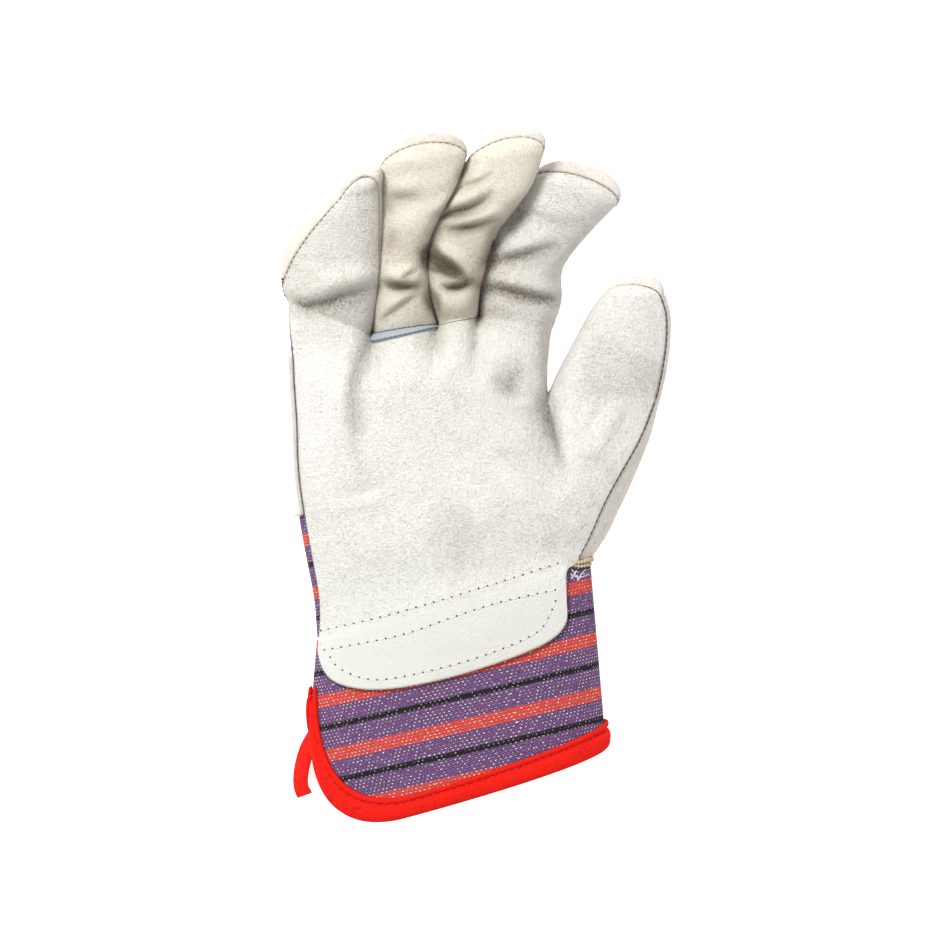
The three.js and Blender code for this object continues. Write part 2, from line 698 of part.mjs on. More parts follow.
// The channel's eight corners at a column of the cuff's edge.
function bindingSection(side, column) {
  const leg = (grow, beyond) => {
    const edge = cuffGridPoint(side, column, 1, grow);
    const inwards = cuffGridPoint(side, column, 1 - 1 / CUFF_ROWS, grow).sub(edge).normalize();
    return edge.addScaledVector(inwards, -beyond);
  };
  const outer = GAP + BINDING_WALL;
  return [
    leg(GAP, -BINDING_WIDTH),
    leg(outer, -BINDING_WIDTH),
    leg(outer, outer),
    leg(-DRILL - outer, outer),
    leg(-DRILL - outer, -BINDING_WIDTH),
    leg(-DRILL - GAP, -BINDING_WIDTH),
    leg(-DRILL - GAP, GAP),
    leg(GAP, GAP),
  ];
}

// The folded binding: a channel round the cuff's edge, from one side of the slit to the other.
function bindingGeometry() {
  const sections = [];
  for (let j = BINDING_START; j <= CUFF_COLUMNS; j++) sections.push(bindingSection(1, j));
  for (let j = CUFF_COLUMNS - 1; j >= BINDING_START; j--) sections.push(bindingSection(-1, j));
  const positions = [];
  const push = (...corners) => corners.forEach((p) => positions.push(p.x, p.y, p.z));
  const size = sections[0].length;
  for (let i = 0; i + 1 < sections.length; i++) {
    for (let j = 0; j < size; j++) {
      const k = (j + 1) % size;
      push(sections[i][j], sections[i + 1][k], sections[i + 1][j]);
      push(sections[i][j], sections[i][k], sections[i + 1][k]);
    }
  }
  for (const [section, flip] of [[sections[0], true], [sections.at(-1), false]]) {
    for (const [a, b, c, d] of [[0, 1, 2, 7], [2, 3, 6, 7], [3, 4, 5, 6]]) {
      const quad = [section[a], section[b], section[c], section[d]];
      if (flip) quad.reverse();
      push(quad[0], quad[1], quad[2]);
      push(quad[0], quad[2], quad[3]);
    }
  }
  return closedGeometry(positions);
}

// Materials.
const finish = (color, roughness) => new THREE.MeshStandardMaterial({ color, roughness, metalness: 0 });
const suede = finish(0xe6e3da, 0.95);
const creamSuede = finish(0xe4dcc8, 0.95);
const drill = finish(0x70508f, 0.9);
const redBinding = finish(0xd8201c, 0.8);
const weltCloth = finish(0xb9c4cf, 0.85);

const glove = new THREE.Group();

// Adds a named mesh to the glove.
function addMesh(name, geometry, material) {
  const mesh = new THREE.Mesh(geometry, material);
  mesh.name = name;
  glove.add(mesh);
}

addMesh("palm", palmWall().geometry(), suede);
addMesh("two_finger_front", twoFingerWall().geometry(), creamSuede);
addMesh("hand_back", backWall().geometry(), drill);
addMesh("thumb_back", thumbBackWall().geometry(), suede);
addMesh("index_back", fingerBackWall("index", 0).geometry(), suede);
for (const [name, row] of Object.entries(CAP_ROWS)) {
  addMesh(`${name}_fingertip`, fingerBackWall(name, row).geometry(), suede);
}
addMesh("knuckle_strap", strapWall().geometry(), suede);
addMesh("finger_welt", weltWall().geometry(), weltCloth);
addMesh("cuff", cuffWall().geometry(), drill);
addMesh("cuff_binding", bindingGeometry(), redBinding);

export default glove;
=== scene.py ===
"""A right-hand rigger glove, dressed in split leather, striped drill and red binding."""
import logging
import math
from collections.abc import Callable
from dataclasses import dataclass, field
from enum import Enum
from functools import partial

import bpy
import numpy as np
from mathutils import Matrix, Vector


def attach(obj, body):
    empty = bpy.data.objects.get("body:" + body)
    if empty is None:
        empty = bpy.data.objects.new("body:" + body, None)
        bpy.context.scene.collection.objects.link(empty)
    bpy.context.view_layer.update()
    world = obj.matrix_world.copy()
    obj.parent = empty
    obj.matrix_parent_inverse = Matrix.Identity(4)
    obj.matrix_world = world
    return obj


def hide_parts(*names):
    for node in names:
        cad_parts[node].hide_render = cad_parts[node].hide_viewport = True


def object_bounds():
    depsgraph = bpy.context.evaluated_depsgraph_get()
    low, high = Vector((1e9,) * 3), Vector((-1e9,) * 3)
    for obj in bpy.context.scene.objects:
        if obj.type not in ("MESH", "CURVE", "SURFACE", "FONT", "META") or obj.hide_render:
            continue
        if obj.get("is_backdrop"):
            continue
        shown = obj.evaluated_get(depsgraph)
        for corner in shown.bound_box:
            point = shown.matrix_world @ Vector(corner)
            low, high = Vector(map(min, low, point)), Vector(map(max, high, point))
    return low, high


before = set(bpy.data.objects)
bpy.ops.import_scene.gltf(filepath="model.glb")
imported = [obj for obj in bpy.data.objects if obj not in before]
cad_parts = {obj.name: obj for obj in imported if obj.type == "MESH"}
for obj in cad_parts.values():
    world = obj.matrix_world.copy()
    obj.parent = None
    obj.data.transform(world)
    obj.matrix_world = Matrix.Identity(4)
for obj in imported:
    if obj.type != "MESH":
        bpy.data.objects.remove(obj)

CAD_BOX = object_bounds()
MM = 0.001
log = logging.getLogger("glove")

# Walls and clearances, in millimetres as all sizes below.
LEATHER = 1.6
DRILL = 1.2
STRAP = 1.5
WELT = 0.8
GAP = 0.3
REST = STRAP + 0.45

PALM_WIDTH = 104.0
PALM_LENGTH = 126.0
PALM_DEPTH = 20.0
PALM_FULLNESS = 0.7
SEAM_HEIGHT = 18.0
SIDE_SEAM = math.radians(18.0)

# The thumb's seam at the wrist, as a share of the way across.
WRIST_SEAM = 0.93

# Corners of a wall that are this near, in digits after the point, are one corner.
WELD_DIGITS = 3

# Rounds of relaxing that find how far a corner lies under its surroundings, and how near a rim.
HOLLOW_ROUNDS = 40
RIM_ROUNDS = 5

FINGERS = ("little", "ring", "middle", "index")

GridMaker = Callable[["Side", float], np.ndarray]
Color = tuple[float, float, float]
Place = tuple[float, float, float]


class Side(Enum):
    """The face of the glove that a panel belongs to."""

    PALM = 1
    BACK = -1


@dataclass(frozen=True)
class Digit:
    """A finger or thumb: its driving sizes, and its sections as shares of them."""

    length: float
    width: float
    rise: float
    depth: float
    lean: float
    sections: tuple[tuple[float, ...], ...]


# Sections give the left end's place along, across and up, the right end's, the bulge to the
# front and to the back, and the seam's angle.
DIGITS = {
    "little": Digit(61, 42, 38, 13, 16, (
        (0.03, -0.43, -0.09, -0.03, 0.43, 0.09, 1.0, 1.0, 18),
        (0.13, -0.54, -0.01, 0.2, 0.40, 0.3, 1.0, 1.0, 30),
        (0.25, -0.59, 0.14, 0.39, 0.36, 0.48, 0.85, 0.95, 42),
        (0.42, -0.55, 0.32, 0.58, 0.29, 0.64, 0.77, 0.9, 50),
        (0.62, -0.41, 0.53, 0.76, 0.22, 0.79, 0.7, 0.8, 56),
        (0.81, -0.22, 0.74, 0.9, 0.15, 0.92, 0.62, 0.7, 60),
    )),
    "ring": Digit(76, 35, 38, 12, 6, (
        (-0.05, -0.37, 0.0, 0.05, 0.37, 0.0, 1.0, 1.08, 0),
        (0.07, -0.39, 0.06, 0.18, 0.26, 0.24, 1.0, 1.0, 0),
        (0.21, -0.40, 0.14, 0.29, 0.21, 0.39, 0.92, 1.0, 0),
        (0.36, -0.42, 0.27, 0.43, 0.18, 0.55, 0.83, 1.0, 0),
        (0.52, -0.44, 0.43, 0.59, 0.28, 0.68, 0.83, 0.9, 0),
        (0.66, -0.44, 0.61, 0.76, 0.43, 0.84, 0.75, 0.8, 10),
        (0.8, -0.46, 0.8, 0.92, 0.52, 0.95, 0.66, 0.75, 20),
    )),
    "middle": Digit(78, 31, 38, 12, 18, (
        (-0.05, -0.23, 0.0, 0.05, 0.23, 0.0, 1.0, 1.08, 0),
        (0.06, -0.43, 0.05, 0.17, 0.16, 0.26, 1.0, 1.08, 0),
        (0.21, -0.61, 0.16, 0.31, 0.14, 0.45, 0.92, 1.0, 0),
        (0.36, -0.71, 0.32, 0.46, 0.13, 0.61, 0.92, 1.0, 0),
        (0.51, -0.67, 0.47, 0.61, 0.27, 0.74, 0.83, 0.92, 0),
        (0.64, -0.58, 0.66, 0.76, 0.39, 0.84, 0.75, 0.83, 10),
        (0.77, -0.51, 0.82, 0.92, 0.4, 0.95, 0.66, 0.75, 20),
    )),
    "index": Digit(67, 36, 29, 13, 25, (
        (-0.06, -0.41, 0.03, 0.06, 0.41, -0.03, 1.0, 1.0, 0),
        (0.08, -0.53, 0.1, 0.24, 0.36, 0.1, 1.0, 1.0, 0),
        (0.26, -0.67, 0.24, 0.4, 0.22, 0.31, 0.92, 0.92, 0),
        (0.45, -0.66, 0.45, 0.6, 0.29, 0.52, 0.77, 0.85, 6),
        (0.66, -0.56, 0.66, 0.78, 0.4, 0.72, 0.7, 0.77, 12),
        (0.83, -0.51, 0.86, 0.9, 0.49, 0.9, 0.62, 0.7, 20),
    )),
    "thumb": Digit(50, 44, 14, 12, 16, (
        (-0.12, -0.51, -0.04, 0.12, 0.51, 0.04, 1.0, 0.92, 30),
        (0.12, -0.47, 0.19, 0.36, 0.49, 0.26, 1.0, 0.92, 32),
        (0.37, -0.41, 0.41, 0.6, 0.44, 0.48, 0.92, 0.83, 32),
        (0.62, -0.35, 0.63, 0.8, 0.36, 0.7, 0.83, 0.75, 32),
        (0.81, -0.26, 0.85, 0.92, 0.25, 0.93, 0.66, 0.66, 32),
    )),
}

# The crotches between the fingers: shares across and along the palm.
CROTCHES = ((-0.223, 0.273), (0.031, 0.305), (0.185, 0.33))

# Palm rows: left end across and along, right end across and along, bulge, thumb seam.
THUMB_BASE_ROWS = (
    (-0.45, -0.57, 0.68, -0.37, 0.82, 0.89),
    (-0.48, -0.44, 0.74, -0.27, 0.92, 0.83),
    (-0.51, -0.3, 0.81, -0.16, 1.0, 0.76),
    (-0.53, -0.16, 0.87, -0.05, 1.05, 0.72),
    (-0.53, -0.02, 0.9, 0.07, 1.05, 0.69),
)
KNUCKLE_ROWS = (
    (-0.53, -0.02, 0.45, 0.08, 1.1, 1),
    (-0.54, 0.11, 0.45, 0.16, 1.15, 1),
    (-0.54, 0.2, 0.455, 0.2, 1.1, 1),
    (-0.55, 0.29, 0.46, 0.25, 1.0, 1),
    (-0.55, 0.34, 0.465, 0.275, 0.95, 1),
    (-0.55, 0.37, 0.47, 0.29, 0.9, 1),
)

# The tab's lower edge: share of the way across the cuff, and down it.
TAB_EDGE = (
    (0.024, 0.06),
    (0.05, 0.17),
    (0.11, 0.27),
    (0.25, 0.36),
    (0.45, 0.4),
    (0.65, 0.4),
    (0.82, 0.37),
    (0.885, 0.3),
    (0.89, 0.2),
)

# The binding's profile on a face: distance up from the cuff's edge, and height over the cuff.
TAPE_PROFILE = (
    (8.6, 0.0),
    (8.7, 0.9),
    (8.2, 1.5),
    (7.2, 1.6),
    (6.5, 1.2),
    (6.0, 0.5),
    (5.5, 0.6),
    (4.9, 1.5),
    (3.6, 2.0),
    (2.0, 2.0),
    (0.4, 1.7),
)

# The tape's loose tail: places across, along and up.
TAIL = (
    (-44.5, -124.0, 7.5),
    (-49.6, -132.6, 8.0),
    (-51.8, -140.2, 8.5),
    (-52.2, -146.8, 8.5),
    (-50.6, -151.0, 8.5),
)

THREADS = {
    "pale": (0.80, 0.78, 0.72),
    "brown": (0.22, 0.14, 0.085),
    "dark": (0.035, 0.035, 0.028),
    "red": (0.72, 0.02, 0.012),
    # Painted shade that stands for the needle holes' recesses.
    "hole": (0.035, 0.022, 0.015),
    "raw": (0.60, 0.48, 0.34),
}

# Loose strands by the wrist: thread, radius, and the path's places across and along.
STRANDS = (
    ("raw", 1.3, ((54.4, -56.0), (58.4, -56.8), (62.4, -56.0), (66.0, -55.2))),
    ("raw", 0.8, ((56.0, -57.6), (60.0, -58.4), (64.8, -57.2))),
    ("dark", 0.5, ((55.2, -58.8), (60.0, -59.6), (64.8, -58.4))),
    ("pale", 0.24, ((55.6, -58.4), (58.0, -61.6), (60.0, -65.2))),
    ("pale", 0.24, ((59.2, -58.8), (57.2, -62.0), (55.6, -64.8))),
    ("pale", 0.24, ((62.4, -59.2), (60.0, -62.0), (58.0, -65.6))),
    ("pale", 0.24, ((56.0, -61.6), (59.2, -62.8), (63.6, -61.6))),
)

# Stitch rows on the tab, as places across and along: two straight ones, and one round its edge.
TAB_STITCHES = (
    ((-43.5, -84.0), (-12.0, -76.4), (28.0, -64.4), (52.5, -56.6)),
    ((-42.0, -91.6), (-12.0, -85.6), (8.0, -78.8), (28.0, -72.4), (53.0, -67.0)),
    (
        (50.0, -72.0), (46.4, -80.0), (42.0, -84.8), (28.0, -91.2),
        (8.0, -97.6), (-20.0, -103.2), (-35.2, -99.2), (-40.4, -93.0),
    ),
)

# Seams sewn over the fingers' edges: node, patch, column, first row and the stitch's name.
TIP_SEAMS = (
    ("palm", 5, 0, 8, "tip"),
    ("palm", 5, -1, 92, "tip"),
    ("two_finger_front", 1, 0, 80, "tip"),
    ("two_finger_front", 1, -1, 84, "tip"),
    ("two_finger_front", 2, 0, 74, "tip"),
    ("two_finger_front", 2, -1, 92, "tip"),
    ("palm", 6, 0, 88, "tip"),
    ("palm", 6, -1, 84, "tip"),
    ("palm", 7, -1, 0, "thumb"),
    ("palm", 1, -1, 4, "thumb"),
)


@dataclass(frozen=True)
class Spot:
    """A long place on the glove: its centre, direction in degrees, sizes and strength."""

    x: float
    y: float
    turn: float
    reach: float
    spread: float
    strength: float

    def local(self, x: np.ndarray, y: np.ndarray) -> tuple[np.ndarray, np.ndarray]:
        """How far points lie along the direction, in reaches, and off it, in spreads."""
        c, s = math.cos(math.radians(self.turn)), math.sin(math.radians(self.turn))
        run = ((x - self.x) * c + (y - self.y) * s) / self.reach
        off = ((y - self.y) * c - (x - self.x) * s) / self.spread
        return run, off


class Fold(Spot):
    """A swelling as high as its strength, or a dent where that is negative."""

    def rise(self, x: np.ndarray, y: np.ndarray) -> np.ndarray:
        """The height at points: a bell across, and a flat-topped window along its direction."""
        run, off = self.local(x, y)
        return self.strength * np.exp(-run**4 - off * off)


class PaintedShade(Spot):
    """A place of painted shade on the leather, where a fold or a neighbouring finger shades it."""

    def amount(self, x: np.ndarray, y: np.ndarray) -> np.ndarray:
        """The darkness at points: a bell that is longer along its direction."""
        run, off = self.local(x, y)
        return self.strength * np.exp(-run * run - off * off)


def smooth_rows(rows: np.ndarray, t: np.ndarray) -> np.ndarray:
    """Catmull-Rom values of table rows.

    Args:
        rows: the table, a row for each section.
        t: places from 0 at the first row to 1 at the last.

    Returns:
        A row of values for each place.
    """
    last = len(rows) - 1
    place = np.minimum(t * last, last - 1e-9)
    i = np.floor(place).astype(int)
    f = (place - i)[:, None]
    p0, p1, p2, p3 = (rows[np.clip(i + k, 0, last)] for k in (-1, 0, 1, 2))
    bend = f * (3 * (p1 - p2) + p3 - p0)
    return p1 + 0.5 * f * (p2 - p0 + f * (2 * p0 - 5 * p1 + 4 * p2 - p3 + bend))


def unit(v: np.ndarray) -> np.ndarray:
    """Vectors divided by their lengths."""
    return v / np.maximum(np.linalg.norm(v, axis=-1, keepdims=True), 1e-9)


def even_steps(path: np.ndarray, pitch: float) -> np.ndarray:
    """Points along a path at an even pitch.

    Args:
        path: the path's points, with any further values in the same row.
        pitch: the distance between the results.

    Returns:
        The rows, by linear steps along the path's length.
    """
    run = np.concatenate([[0], np.cumsum(np.linalg.norm(np.diff(path, axis=0), axis=1))])
    places = np.arange(0, run[-1], pitch)
    return np.stack([np.interp(places, run, column) for column in path.T], 1)


@dataclass(frozen=True)
class Crease:
    """A curved fold: a sharp groove along a path in plan, with a raised lip on its left, and painted shade in
    the groove.

    The shape is measured in spreads from the path, and is the same for all creases.
    """

    height: float
    spread: float
    path: tuple[tuple[float, float], ...]

    STEPS = 48
    END_FADE = 0.9
    LIP_PLACE = 0.95
    GROOVE_DEPTH = 0.95
    SHADE_PER_HEIGHT = 0.27
    MOST_SHADE = 0.8

    def place(self, x: np.ndarray, y: np.ndarray) -> tuple[np.ndarray, np.ndarray]:
        """Where points lie by the path.

        Args:
            x: places across the glove.
            y: places along the glove.

        Returns:
            The distance from the path in spreads, positive on its left, and a window that is 1
            at the middle of the path and falls to 0 at its ends.
        """
        curve = smooth_rows(np.array(self.path), np.linspace(0, 1, self.STEPS))
        tangent = unit(np.gradient(curve, axis=0))
        delta = np.stack([x, y], 1)[:, None, :] - curve
        nearest = (delta**2).sum(2).argmin(1)
        off = delta[np.arange(len(x)), nearest]
        along = tangent[nearest]
        side = along[:, 0] * off[:, 1] - along[:, 1] * off[:, 0]
        window = np.abs(np.sin(np.pi * nearest / (self.STEPS - 1))) ** self.END_FADE
        return np.copysign(np.linalg.norm(off, axis=1), side) / self.spread, window

    @staticmethod
    def groove(off: np.ndarray, left: float, right: float, power: float) -> np.ndarray:
        """A falloff from 1 on the path, with a width of its own on each side."""
        return np.exp(-np.abs(off / np.where(off > 0, left, right)) ** power)

    def rise(self, x: np.ndarray, y: np.ndarray) -> np.ndarray:
        """The height at points: a bell for the lip, less a groove that is gentle on its right."""
        off, window = self.place(x, y)
        lip = np.exp(-((off - self.LIP_PLACE) ** 2))
        return self.height * window * (lip - self.GROOVE_DEPTH * self.groove(off, 0.40, 1.1, 1.5))

    def amount(self, x: np.ndarray, y: np.ndarray) -> np.ndarray:
        """The painted shade in the groove: it ends sharply at the lip and fades on the right."""
        off, window = self.place(x, y)
        strength = np.minimum(self.SHADE_PER_HEIGHT * self.height, self.MOST_SHADE)
        return strength * window * self.groove(off, 0.3, 1.3, 1.3)


# A comment after a row says what it is in the photograph.
PALM_FOLDS: tuple[Fold, ...] = (
    Fold(-37.2, 56.8, 3, 14.8, 4.8, 1.6),  # pad above the bend
    Fold(-38.4, 38.4, -3, 13.6, 4.8, 1.0),  # swell below the bend
    Fold(-26.4, 9.6, 87, 17.6, 5.6, -1.4),  # hollow beside the edge
    Fold(-28.4, -34.2, 9, 10.9, 2.8, 0.6),  # roll below that crease
    Fold(-4.4, 87.2, 13, 11.1, 3.6, -0.8),  # ring's upper shade
    Fold(-2.0, 58.0, 60, 5.0, 3.4, 1.4),  # ring's knob
    Fold(-7.2, 76.8, 9, 9.7, 5.6, 0.8),  # ring's middle roll
    Fold(10.8, 46.0, 5, 8.4, 5.0, 1.4),  # middle's lowest roll
    Fold(34.4, 82.0, 50, 6.8, 4.4, -2.2),  # index's upper shade
    Fold(35.6, 43.2, -17, 13.8, 4.8, 1.2),  # swell under the sharp fold
    Fold(33.6, 17.6, 45, 7.5, 6.4, -2.4),  # hollow below the index
    Fold(36.8, -22.0, 87, 18.0, 7.2, 1.4),  # thumb's mound
    Fold(6.0, -14.0, 31, 11.7, 16.0, -1.2),  # palm's dish
    Fold(-8.0, -48.0, 16, 29.1, 10.0, 0.5),  # palm's long swell
    Fold(4.0, 22.0, 21, 17.1, 6.4, 0.8),  # palm's slanting swell
)

CREASES: tuple[Crease, ...] = (
    # Middle: fold by the tip, upper fold, long fold, ridge over the dark pocket, crease under
    # the lobe, and the valley beside the lower roll.
    Crease(1.2, 2.4, ((10.0, 92.8), (15.2, 94.0), (20.0, 95.6), (24.8, 99.6))),
    Crease(2.6, 3.4, ((3.2, 80.8), (8.0, 82.8), (14.4, 84.8), (20.8, 88.0), (25.6, 92.4))),
    Crease(2.4, 2.6, ((3.6, 77.6), (10.0, 76.8), (16.0, 77.6), (22.4, 79.2), (29.6, 81.2))),
    Crease(3.6, 3.0, ((-1.6, 67.2), (3.2, 64.0), (8.8, 60.8), (13.6, 57.2), (15.2, 54.4))),
    Crease(2.6, 2.4, ((3.2, 54.4), (8.0, 53.2), (13.2, 54.0), (18.4, 57.2))),
    Crease(1.6, 2.6, ((-0.8, 52.8), (2.8, 48.0), (4.4, 40.0))),
    # Ring: pocket, nick over the pocket, slanting groove and upper fold.
    Crease(2.8, 2.8, ((-20.0, 56.4), (-14.4, 54.4), (-8.8, 53.6), (-3.2, 54.4))),
    Crease(1.2, 2.0, ((-12.0, 56.4), (-8.8, 58.0), (-4.8, 60.4))),
    Crease(1.4, 2.4, ((-20.8, 39.2), (-12.8, 45.2), (-4.0, 50.8))),
    Crease(0.8, 3.4, ((-17.6, 88.8), (-10.4, 89.6), (-2.4, 90.4))),
    # Index: upper fold, sharp fold and the fold near the tip.
    Crease(2.0, 3.8, ((21.6, 63.2), (29.6, 64.4), (37.6, 66.4), (45.2, 68.8), (52.8, 70.4))),
    Crease(3.0, 3.4, ((19.2, 54.8), (28.0, 52.4), (36.0, 50.8), (44.0, 48.8), (52.0, 48.8))),
    Crease(0.8, 3.6, ((31.2, 86.0), (42.0, 82.4), (52.0, 79.2), (62.0, 80.0))),
    # Little: bend, and the nick at its outer end.
    Crease(2.8, 4.2, ((-53.6, 49.6), (-44.8, 46.8), (-33.6, 50.4), (-19.6, 53.6))),
    Crease(1.6, 2.2, ((-55.2, 48.0), (-49.6, 45.6), (-45.6, 46.8))),
    # Palm: edge of the little finger's column, crease across the heel, thumb's valley, edge of
    # the hollow, and the fold on the thumb's ball.
    Crease(1.5, 4.6, (
        (-27.2, -30.0), (-30.8, -9.6), (-31.6, 6.4), (-29.2, 20.0), (-24.4, 29.6), (-19.2, 40.8),
    )),
    Crease(0.5, 3.4, ((-14.4, -24.4), (-28.0, -29.4), (-40.8, -30.2))),
    Crease(1.4, 5.0, ((44.4, 12.8), (48.4, 2.0), (51.6, -10.0), (56.0, -28.0))),
    Crease(0.9, 3.4, ((42.4, 10.8), (35.2, 9.2), (28.0, 12.0), (25.6, 18.4))),
    Crease(0.6, 4.0, ((64.8, -20.0), (74.4, -4.0), (81.6, 11.2))),
)


def seen_from_above(points: np.ndarray) -> tuple[np.ndarray, np.ndarray]:
    """Places across and along as the camera sees them: drawn away from its aim by their height."""
    scale = Studio.height / (Studio.height + Studio.floor_gap - points[:, 2] * MM)
    aim = np.array(Studio.aim) / MM
    plan = aim + (points[:, :2] - aim) * scale[:, None]
    return plan[:, 0], plan[:, 1]


def fold_height(points: np.ndarray) -> np.ndarray:
    """The sum of all folds' and creases' heights at points of the glove."""
    x, y = seen_from_above(points)
    return sum(fold.rise(x, y) for fold in (*PALM_FOLDS, *CREASES))


# Painted shade: darker places in the leather's colour where folds, pockets and neighbouring fingers shade it.
# The comment after each row names the place.
PAINTED_SHADES: tuple[PaintedShade, ...] = (
    PaintedShade(-38.0, 46.0, -2, 15.0, 4.5, 0.28),  # under the little finger's bend
    PaintedShade(-27.0, 30.0, 70, 14.0, 3.0, 0.25),  # beside the little column
    PaintedShade(-12.8, 90.4, 0, 7.0, 2.4, 0.3),  # ring's upper shade
    PaintedShade(-16.4, 84.8, 70, 3.6, 2.6, 0.4),  # ring's left edge
    PaintedShade(-15.6, 72.8, 80, 5.0, 3.2, 0.4),  # ring's left edge, lower
    PaintedShade(-12.8, 54.0, -4, 9.0, 2.2, 0.5),  # under the ring's pocket
    PaintedShade(-0.8, 46.8, -60, 6.0, 1.6, 0.6),  # crease between ring and middle
    PaintedShade(2.4, 48.0, -65, 7.0, 2.6, 0.3),  # valley beside the middle's lower roll
    PaintedShade(8.8, 83.2, 14, 7.0, 2.8, 0.5),  # middle's upper fold
    PaintedShade(15.2, 76.0, 4, 13.0, 2.6, 0.3),  # under the long fold
    PaintedShade(2.0, 72.0, 75, 7.0, 2.4, 0.6),  # middle's left edge
    PaintedShade(12.0, 70.0, -30, 10.0, 5.0, 0.14),  # middle's slanting face
    PaintedShade(4.8, 62.4, -32, 8.0, 2.8, 1.5),  # dark pocket
    PaintedShade(1.2, 66.4, -60, 4.6, 2.4, 0.8),  # dark pocket's upper corner
    PaintedShade(4.0, 63.2, -25, 9.0, 3.6, 0.7),  # round the dark pocket
    PaintedShade(0.0, 63.2, 40, 4.0, 3.6, 1.0),  # dark pocket's left end
    PaintedShade(11.2, 53.6, 2, 6.0, 1.7, 0.5),  # under the middle's lobe
    PaintedShade(12.8, 98.4, 40, 4.0, 2.6, 0.5),  # middle by the ring's tip
    PaintedShade(34.0, 80.0, 60, 8.0, 4.0, 0.55),  # index's upper shade
    PaintedShade(24.4, 67.2, 80, 9.0, 3.2, 0.7),  # index beside the middle finger
    PaintedShade(32.8, 65.2, 8, 13.0, 2.8, 0.62),  # index's upper fold
    PaintedShade(27.2, 53.2, -10, 9.0, 3.0, 0.6),  # index's sharp fold
    PaintedShade(43.2, 49.2, -6, 9.0, 2.6, 0.6),  # index's sharp fold, right
    PaintedShade(26.8, 43.2, -20, 9.0, 5.0, 0.32),  # below the sharp fold
    PaintedShade(33.2, 16.4, 40, 6.5, 5.0, 0.5),  # hollow below the index
    PaintedShade(44.4, 30.0, 88, 14.0, 3.0, 0.2),  # index's right side
    PaintedShade(47.6, -1.6, -72, 12.0, 3.2, 0.42),  # thumb's valley
)


def painted_shade_amount(points: np.ndarray) -> np.ndarray:
    """The sum of all painted shade at points of the glove, at most 1."""
    x, y = seen_from_above(points)
    return np.minimum(sum(place.amount(x, y) for place in (*PAINTED_SHADES, *CREASES)), 1.0)


@dataclass
class Loops:
    """Flattened loops in a row: their ends, the direction of the palm side and their bulges."""

    left: np.ndarray
    right: np.ndarray
    normal: np.ndarray
    front: np.ndarray
    back: np.ndarray
    fullness: float
    seam: np.ndarray | None = None

    def surface(
        self, angles: np.ndarray, grow: float, side: Side, lift: float = GAP / 2
    ) -> np.ndarray:
        """Points of the loops at angles.

        Angle 0 is a loop's left end and pi its right end. The height over the line between the
        ends is the sine of the angle to the power of the fullness, times the bulge.

        Args:
            angles: an angle for each loop and column.
            grow: how far outside the loop the points lie.
            side: the face, which lifts the points off the seam.
            lift: how far the face stands off the seam.

        Returns:
            The points, by loop and column.
        """
        across = unit(self.right - self.left)
        left = (self.left - across * grow)[:, None, :]
        right = (self.right + across * grow)[:, None, :]
        share = ((1 - np.cos(angles)) / 2)[..., None]
        points = left + (right - left) * share
        rise = np.abs(np.sin(angles)) ** self.fullness
        is_front = np.sin(angles) >= 0
        bulge = np.where(is_front, self.front[:, None] + grow, -(self.back[:, None] + grow))
        points = points + self.normal[:, None, :] * (rise * bulge + side.value * lift)[..., None]
        points[..., 2] = np.maximum(points[..., 2], REST - grow)
        return points


def panel_angles(side: Side, shares: np.ndarray, left: np.ndarray, right: np.ndarray) -> np.ndarray:
    """Loop angles at shares of a panel between its left and right seam angles."""
    if side is Side.PALM:
        return left + (math.pi - left - right) * shares
    return left - (math.pi + left + right) * shares


def panel_share(side: Side, angle: np.ndarray, left: float, right: float) -> np.ndarray:
    """The share along a panel at which the loop angle has a size."""
    return (angle - side.value * left) / (math.pi - side.value * (left + right))


def palm_loops(rows: np.ndarray) -> Loops:
    """The palm's loops from rows of its table."""
    height = np.full(len(rows), SEAM_HEIGHT)
    left = np.stack([rows[:, 0] * PALM_WIDTH, rows[:, 1] * PALM_LENGTH, height], 1)
    right = np.stack([rows[:, 2] * PALM_WIDTH, rows[:, 3] * PALM_LENGTH, height], 1)
    up = np.tile(np.array([0.0, 0.0, 1.0]), (len(rows), 1))
    back = np.full(len(rows), PALM_DEPTH)
    return Loops(left, right, up, PALM_DEPTH * rows[:, 4], back, PALM_FULLNESS)


